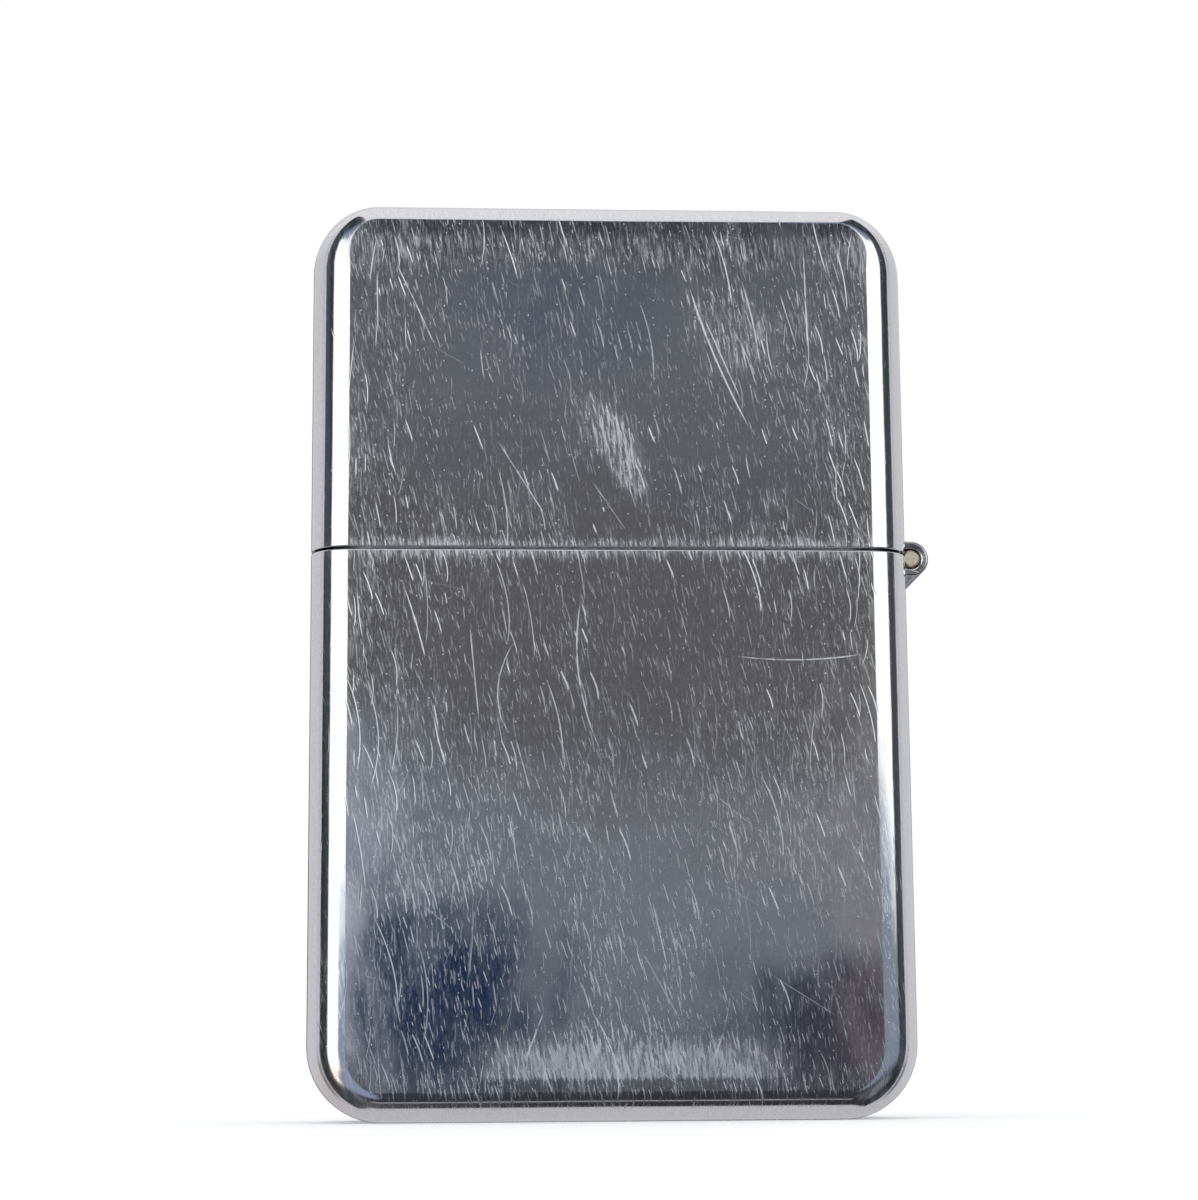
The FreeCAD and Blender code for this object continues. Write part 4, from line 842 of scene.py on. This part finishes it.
def cloth_like(name, pale, deep, fuzz, scale, extra=None):
    """A fibrous matt stuff: tone clouds, fibres and a little sheen."""
    m, g, p = material(name)
    pos, nrm = coords(g)
    x, y, z = g.split(pos)
    cloud = g.noise(pos, 0.45, 4.0, 0.6)
    hair = g.noise(g.vec("MULTIPLY", pos, (scale, scale, scale * 0.4)), 1.0, 5.0, 0.75, distort=1.2)
    col = g.mix(g.ss(cloud, 0.3, 0.7), deep, pale)
    col = g.mix(g.ss(hair, 0.35, 0.7) * 0.5, col, tuple(min(1.0, c * 1.12) for c in pale[:3]) + (1,))
    if extra:
        col = extra(g, x, y, z, col, cloud, hair)
    g.put(p.inputs["Base Color"], col)
    g.put(p.inputs["Roughness"], g.clamp(0.86 + (hair - 0.5) * 0.2))
    p.inputs["Sheen Weight"].default_value = fuzz
    p.inputs["Sheen Roughness"].default_value = 0.5
    bump(g, p, hair, 0.00012, 0.8)
    return m


def scorch(g, x, y, z, col, cloud, hair):
    burnt = g.ss(z + (cloud - 0.5) * 2.5, 46.6, 48.8)
    brown = g.ss(z + (cloud - 0.5) * 3.0, 43.6, 46.6)
    col = g.mix(brown * 0.7, col, rgb(150, 122, 84))
    return g.mix(burnt, col, rgb(30, 27, 25))


wick_mat = cloth_like("wick_braid", rgb(222, 216, 200), rgb(190, 182, 162), 0.3, 10.0, scorch)
cotton_mat = cloth_like("packing_fibre", rgb(228, 224, 214), rgb(204, 198, 184), 0.5, 5.0)
felt_mat = cloth_like("felt_pad_wool", rgb(196, 190, 178), rgb(164, 158, 146), 0.5, 7.0)


# ---------------------------------------------------------------------------
# Grids that close on themselves

def plain(name, verts, faces, mat, sharp=None):
    mesh = bpy.data.meshes.new(name)
    mesh.from_pydata([tuple(c * MM for c in v) for v in verts], [], faces)
    mesh.polygons.foreach_set("use_smooth", [True] * len(mesh.polygons))
    if sharp is not None:
        mesh.set_sharp_from_angle(angle=math.radians(sharp))
    mesh.materials.append(mat)
    o = bpy.data.objects.new(name, mesh)
    scene.collection.objects.link(o)
    return o


def volume(verts, faces):
    total = 0.0
    for f in faces:
        a = Vector(verts[f[0]])
        for i in range(1, len(f) - 1):
            total += a.dot(Vector(verts[f[i]]).cross(Vector(verts[f[i + 1]])))
    return total / 6


def outward(verts, faces):
    return faces if volume(verts, faces) > 0 else [tuple(reversed(f)) for f in faces]


def tube(points, side, radius, around, caps=True, twist=None):
    """Rings of a round section along points, side being a direction never along the path.  radius(i, k) in mm."""
    pts = [Vector(p) for p in points]
    verts, faces = [], []
    n = len(pts)
    for i, p in enumerate(pts):
        t = (pts[min(i + 1, n - 1)] - pts[max(i - 1, 0)]).normalized()
        a = (Vector(side) - t * Vector(side).dot(t)).normalized()
        b = t.cross(a)
        for k in range(around):
            ang = 2 * PI * k / around
            r = radius(i, k)
            verts.append(tuple(p + (a * math.cos(ang) + b * math.sin(ang)) * r))
    for i in range(n - 1):
        for k in range(around):
            m = (k + 1) % around
            faces.append((i * around + k, i * around + m, (i + 1) * around + m, (i + 1) * around + k))
    if caps:
        faces.append(tuple(reversed(range(around))))
        faces.append(tuple((n - 1) * around + k for k in range(around)))
    return verts, outward(verts, faces)


# striker wheel: coarse crossed cuts over a hard rim, a boss each side, a bore
def wheel():
    teeth, per = 30, 10
    around = teeth * per
    prof = []                                   # (half-turn profile: radius, y, cut 0..1)
    rows = 22
    for i in range(rows + 1):
        yy = -2.75 + 5.5 * i / rows
        prof.append((3.9, yy, 1.0))
    prof = [(3.62, -3.0, 0.35), (3.80, -2.90, 0.7)] + prof + [(3.80, 2.90, 0.7), (3.62, 3.0, 0.35)]
    prof += [(3.0, 3.0, 0), (2.85, 2.93, 0), (2.1, 2.93, 0), (1.95, 3.05, 0), (1.9, 3.15, 0), (1.9, 3.45, 0), (1.8, 3.55, 0), (0.96, 3.55, 0), (0.86, 3.45, 0)]
    prof += [(0.86, 1.2, 0), (0.86, -1.2, 0)]
    prof += [(0.86, -3.45, 0), (0.96, -3.55, 0), (1.8, -3.55, 0), (1.9, -3.45, 0), (1.9, -3.15, 0), (1.95, -3.05, 0), (2.1, -2.93, 0), (2.85, -2.93, 0), (3.0, -3.0, 0)]
    verts, faces = [], []
    nprof = len(prof)
    for k in range(around):
        a = 2 * PI * k / around
        for r, yy, cut in prof:
            t = k / per
            saw = (t + yy * 0.55) % 1.0
            saw2 = (-t + yy * 0.55 + 100) % 1.0
            d1 = max(0.0, 1 - abs(saw - 0.30) / 0.30)
            d2 = max(0.0, 1 - abs(saw2 - 0.5) / 0.26) * 0.7
            rr = r - cut * 0.34 * max(d1, d2)
            verts.append((-9.5 + rr * math.cos(a), yy, 45.6 + rr * math.sin(a)))
    for k in range(around):
        m = (k + 1) % around
        for j in range(nprof):
            q = (j + 1) % nprof
            faces.append((k * nprof + j, k * nprof + q, m * nprof + q, m * nprof + j))
    o = plain("striker_wheel", verts, outward(verts, faces), mats["wheel_steel"], 38)
    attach(o, "wheel")
    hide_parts("flint_wheel")


wheel()


# feed spring: close turns at both ends, open between
def feed_spring():
    mean, wire, low, high = 0.92, 0.2, 9.8, 35.2
    steps = 26
    pitch_mid = 1.3
    dead = 1.5
    turns_mid = (high - low - 2 * dead * 2.05 * wire) / pitch_mid
    total = turns_mid + 2 * dead
    pts = []
    n = int(total * steps)
    z = low
    for i in range(n + 1):
        t = i / steps
        a = 2 * PI * t
        pts.append((-9.5 + mean * math.cos(a), mean * math.sin(a), z))
        edge = min(t, total - t)
        blend = smooth01((edge - dead + 0.5) / 1.0)
        z += (2.05 * wire * (1 - blend) + pitch_mid * blend) / steps
    scale = (high - low) / (pts[-1][2] - low)
    pts = [(x, y, low + (h - low) * scale) for x, y, h in pts]
    verts, faces = tube(pts, (0, 0, 1), lambda i, k: wire, 10)
    o = plain("feed_spring", verts, faces, mats["spring_steel"], 60)
    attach(o, "case")
    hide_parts("flint_spring")
    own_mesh(o)


feed_spring()


# wick: a round braid through the chimney, down into the packing
def braid():
    route = [(-2.4, 50.2), (-2.4, 44.0), (-2.4, 37.5), (-2.4, 30.8), (11.0, 24.5), (11.0, 15.5), (1.5, 8.8)]
    curve = bpy.data.curves.new("wick_line", "CURVE")
    curve.dimensions = "3D"
    curve.resolution_u = 60
    sp = curve.splines.new("NURBS")
    sp.points.add(len(route) - 1)
    for q, (x, z) in zip(sp.points, route):
        q.co = (x, 0.0, z, 1.0)
    sp.order_u = 3
    sp.use_endpoint_u = True
    tmp = bpy.data.objects.new("wick_line", curve)
    scene.collection.objects.link(tmp)
    bpy.context.view_layer.update()
    line = bpy.data.meshes.new_from_object(tmp.evaluated_get(bpy.context.evaluated_depsgraph_get()))
    raw = [v.co.copy() for v in line.vertices]
    bpy.data.objects.remove(tmp)
    bpy.data.curves.remove(curve)
    bpy.data.meshes.remove(line)
    # even spacing along it
    cum = [0.0]
    for a, b in zip(raw, raw[1:]):
        cum.append(cum[-1] + (b - a).length)
    step, pts, j = 0.16, [], 0
    n = int(cum[-1] / step)
    for i in range(n + 1):
        s = i * cum[-1] / n
        while j < len(cum) - 2 and cum[j + 1] < s:
            j += 1
        f = (s - cum[j]) / max(cum[j + 1] - cum[j], 1e-9)
        pts.append(raw[j].lerp(raw[j + 1], f))
    around = 48
    rng = np.random.default_rng(7)
    rough = rng.normal(0, 1, (n + 1, around))

    def radius(i, k):
        s, a = i * step, 2 * PI * k / around
        over = math.cos(6 * a + s * 3.4)
        under = math.cos(6 * a - s * 3.4)
        r = 1.17 + 0.075 * max(over, under) + 0.006 * rough[i, k]
        top = s / 0.9
        if top < 1:
            r *= 0.45 + 0.55 * math.sqrt(max(0.0, 1 - (1 - top) ** 2))
        return r

    verts, faces = tube(pts, (0, 1, 0), radius, around)
    # loose threads at the top
    for t in range(34):
        a, rr = rng.uniform(0, 2 * PI), 0.95 * math.sqrt(rng.uniform(0.02, 1))
        length, outx = rng.uniform(0.35, 1.0), rng.uniform(0.0, 0.35)
        p0 = Vector((-2.4 + rr * math.cos(a), rr * math.sin(a), 49.45))
        hair = []
        for q in range(6):
            f = q / 5
            hair.append(p0 + Vector((math.cos(a) * outx * f * f + 0.06 * math.sin(5 * f + a), math.sin(a) * outx * f * f, (0.35 + length) * f)))
        hv, hf = tube(hair, (0, 1, 0.02), lambda i, k: 0.055 * (1 - 0.12 * i), 6)
        base = len(verts)
        verts += hv
        faces += [tuple(i + base for i in f) for f in hf]
    o = plain("wick_cord", verts, faces, wick_mat)
    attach(o, "case")
    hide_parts("wick")


braid()


# packing and felt: the CAD solids remade as fibrous lumps, worn in from their faces
def lumps(name, node, mat, voxel, amount, scale):
    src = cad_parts[node]
    mesh = src.data.copy()
    mesh.name = name
    o = bpy.data.objects.new(name, mesh)
    scene.collection.objects.link(o)
    mesh.materials.clear()
    mesh.materials.append(mat)
    mod = o.modifiers.new("remesh", "REMESH")
    mod.mode = "VOXEL"
    mod.voxel_size = voxel * MM
    mod.use_smooth_shade = True
    bpy.context.view_layer.update()
    done = bpy.data.meshes.new_from_object(o.evaluated_get(bpy.context.evaluated_depsgraph_get()))
    o.modifiers.clear()
    o.data = done
    done.name = name + "_mesh"
    n = len(done.vertices)
    co = np.zeros(n * 3)
    done.vertices.foreach_get("co", co)
    co = co.reshape(-1, 3)
    no = np.array([v.normal[:] for v in done.vertices])
    q = co * 1000.0
    f = np.zeros(n)
    for k, (sx, sy, sz, ph) in enumerate(((1.0, 1.3, 0.9, 0.3), (2.1, 1.7, 2.4, 1.9), (4.3, 3.9, 4.1, 4.4), (7.9, 8.3, 7.1, 2.2))):
        f += (np.sin(q[:, 0] * sx * scale + ph + 1.7 * np.sin(q[:, 1] * sy * scale + k)) * np.cos(q[:, 2] * sz * scale + ph * 2 + np.sin(q[:, 0] * scale * sz))) / (1.5 ** k)
    f = (f - f.min()) / (f.max() - f.min())
    co -= no * (f * amount * MM)[:, None]
    done.vertices.foreach_set("co", co.astype(np.float32).ravel())
    done.update()
    if not done.materials:
        done.materials.append(mat)
    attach(o, "case")
    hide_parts(node)
    return o


lumps("packing_lumps", "cotton_packing", cotton_mat, 0.45, 0.55, 0.9)
lumps("felt_cushion", "felt_pad", felt_mat, 0.30, 0.22, 1.6)


# hinge: sheet leaves, rolled round the pin into knuckles with the seam of the roll showing
def prism(sk, poly, y0, y1, soft=0.14):
    """A sheet section pulled along Y, its end edges eased.  poly is [(x, z, nx, nz, nx2, nz2)]: normals of the pieces before and after."""
    def ring(yy, off, ny, flat):
        pts, nb, na = [], [], []
        for x, z, ax, az, bx, bz in poly:
            mx_, mz_ = ax + bx, az + bz
            l = max(math.hypot(mx_, mz_), 1e-6)
            k = off * min(1.4, 2.0 / l) / l
            pts.append((x - mx_ * k, yy, z - mz_ * k))
            nb.append((ax * flat, ny, az * flat))
            na.append((bx * flat, ny, bz * flat))
        return pts, nb, na

    arc = [i / 5 * PI / 2 for i in range(6)]
    rings = [ring(y0 + soft * (1 - math.cos(t)), soft * (1 - math.sin(t)), -math.cos(t), math.sin(t)) for t in arc]
    rings += [ring(y1 - soft * (1 - math.cos(t)), soft * (1 - math.sin(t)), math.cos(t), math.sin(t)) for t in reversed(arc)]
    n = len(poly)
    for (pa, ba, fa), (pb, bb, fb) in zip(rings, rings[1:]):
        for i in range(n):
            j = (i + 1) % n
            sk.face([pa[i], pa[j], pb[j], pb[i]], [fa[i], ba[j], bb[j], fb[i]])
    sk.face(rings[0][0], [(0, -1, 0)] * n)
    sk.face(rings[-1][0], [(0, 1, 0)] * n)


def with_normals(pts, smooth):
    """Adds to each point of a closed outline the outward normals of the runs before and after it; smooth ones share theirs."""
    n = len(pts)
    area = sum(pts[i][0] * pts[(i + 1) % n][1] - pts[(i + 1) % n][0] * pts[i][1] for i in range(n))
    sgn = 1 if area > 0 else -1
    seg = []
    for i in range(n):
        dx, dz = pts[(i + 1) % n][0] - pts[i][0], pts[(i + 1) % n][1] - pts[i][1]
        l = max(math.hypot(dx, dz), 1e-9)
        seg.append((dz / l * sgn, -dx / l * sgn))
    out = []
    for i, (x, z) in enumerate(pts):
        a, b = seg[i - 1], seg[i]
        if smooth[i]:
            mx_, mz_ = a[0] + b[0], a[1] + b[1]
            l = max(math.hypot(mx_, mz_), 1e-9)
            a = b = (mx_ / l, mz_ / l)
        out.append((x, z, a[0], a[1], b[0], b[1]))
    return out


def leaf(name, node, body, rows, up, top):
    """top is the far edge of the leaf from the axis, in z."""
    ax, az, ro, ri = 19.1, 34.8, 1.12, 0.62
    d = 1 if up else -1
    lin, lout = 17.55, 17.98
    sk = Skin()
    # section of a knuckle: up the neck, over the strap, round the pin and back to the seam
    pts, sm = [], []

    def add(x, z, s=True):
        pts.append((x, az + d * z))
        sm.append(s)

    neck = 1.6
    add(lin, neck, False)
    for i in range(7):                          # inner bend of the sheet
        a = math.radians(180 + 90 * i / 6)
        add(lin + 0.62 + 0.62 * math.cos(a), ri + 0.62 + 0.62 * math.sin(a))
    start, stop = 90, -218                      # the roll, from over the pin right round to the seam
    steps = 40
    inner_pts = [(ax + ri * math.cos(math.radians(start + (stop - start) * i / steps)), ri * math.sin(math.radians(start + (stop - start) * i / steps))) for i in range(steps + 1)]
    outer_pts = [(ax + ro * math.cos(math.radians(start + (stop - start) * i / steps)), ro * math.sin(math.radians(start + (stop - start) * i / steps))) for i in range(steps + 1)]
    for i, (x, z) in enumerate(inner_pts):
        add(x, z, i != steps)
    for i, (x, z) in enumerate(reversed(outer_pts)):
        add(x, z, i != 0)
    for i in range(5):                          # outer bend, into the leaf
        a = math.radians(270 - 90 * i / 4)
        add(lout + 0.10 + 0.10 * math.cos(a), ro + 0.10 + 0.10 * math.sin(a))
    add(lout, neck, False)
    poly = with_normals(pts, sm)
    for row in rows:
        y0 = row * 1.6 - 0.75
        prism(sk, poly, y0, y0 + 1.5)
    # the flat of the leaf, its far corners rounded
    half, rc = 3.95, 0.9
    plate = []
    low, high = neck - 0.02, abs(top - az)
    plate.append((-half, low))
    plate.append((half, low))
    for i in range(7):
        a = math.radians(90 * i / 6)
        plate.append((half - rc + rc * math.cos(a), high - rc + rc * math.sin(a)))
    for i in range(7):
        a = math.radians(90 + 90 * i / 6)
        plate.append((-half + rc + rc * math.cos(a), high - rc + rc * math.sin(a)))
    n = len(plate)
    cy = 0.0
    e = 0.07

    def ringp(x, off):
        out = []
        for yy, h in plate:
            sy = yy - math.copysign(off, yy)
            sh = min(max(h, low + off), high - off) if (h < low + off or h > high - off) else h
            out.append((x, sy, az + d * sh))
        return out

    def nrm(i, bx):
        y1_, h1 = plate[i]
        y2_, h2 = plate[(i + 1) % n]
        l = max(math.hypot(h2 - h1, y2_ - y1_), 1e-9)
        return (bx, (h2 - h1) / l, d * -(y2_ - y1_) / l)

    stack = [(ringp(lin, e), -1.0), (ringp(lin + e, 0), 0.0), (ringp(lout - e, 0), 0.0), (ringp(lout, e), 1.0)]
    for (pa, bxa), (pb, bxb) in zip(stack, stack[1:]):
        for i in range(n):
            j = (i + 1) % n
            sk.face([pa[i], pa[j], pb[j], pb[i]], [nrm(i, bxa), nrm(i, bxa), nrm(i, bxb), nrm(i, bxb)])
    sk.face(stack[0][0], [(-1, 0, 0)] * n)
    sk.face(stack[-1][0], [(1, 0, 0)] * n)
    o = sk.build(name, mats["hinge_metal"])
    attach(o, body)
    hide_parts(node)


leaf("lid_leaf_rolled", "lid_hinge_leaf", "lid", (-2, 0, 2), True, 42.4)
leaf("case_leaf_rolled", "case_hinge_leaf", "case", (-1, 1), False, 27.4)
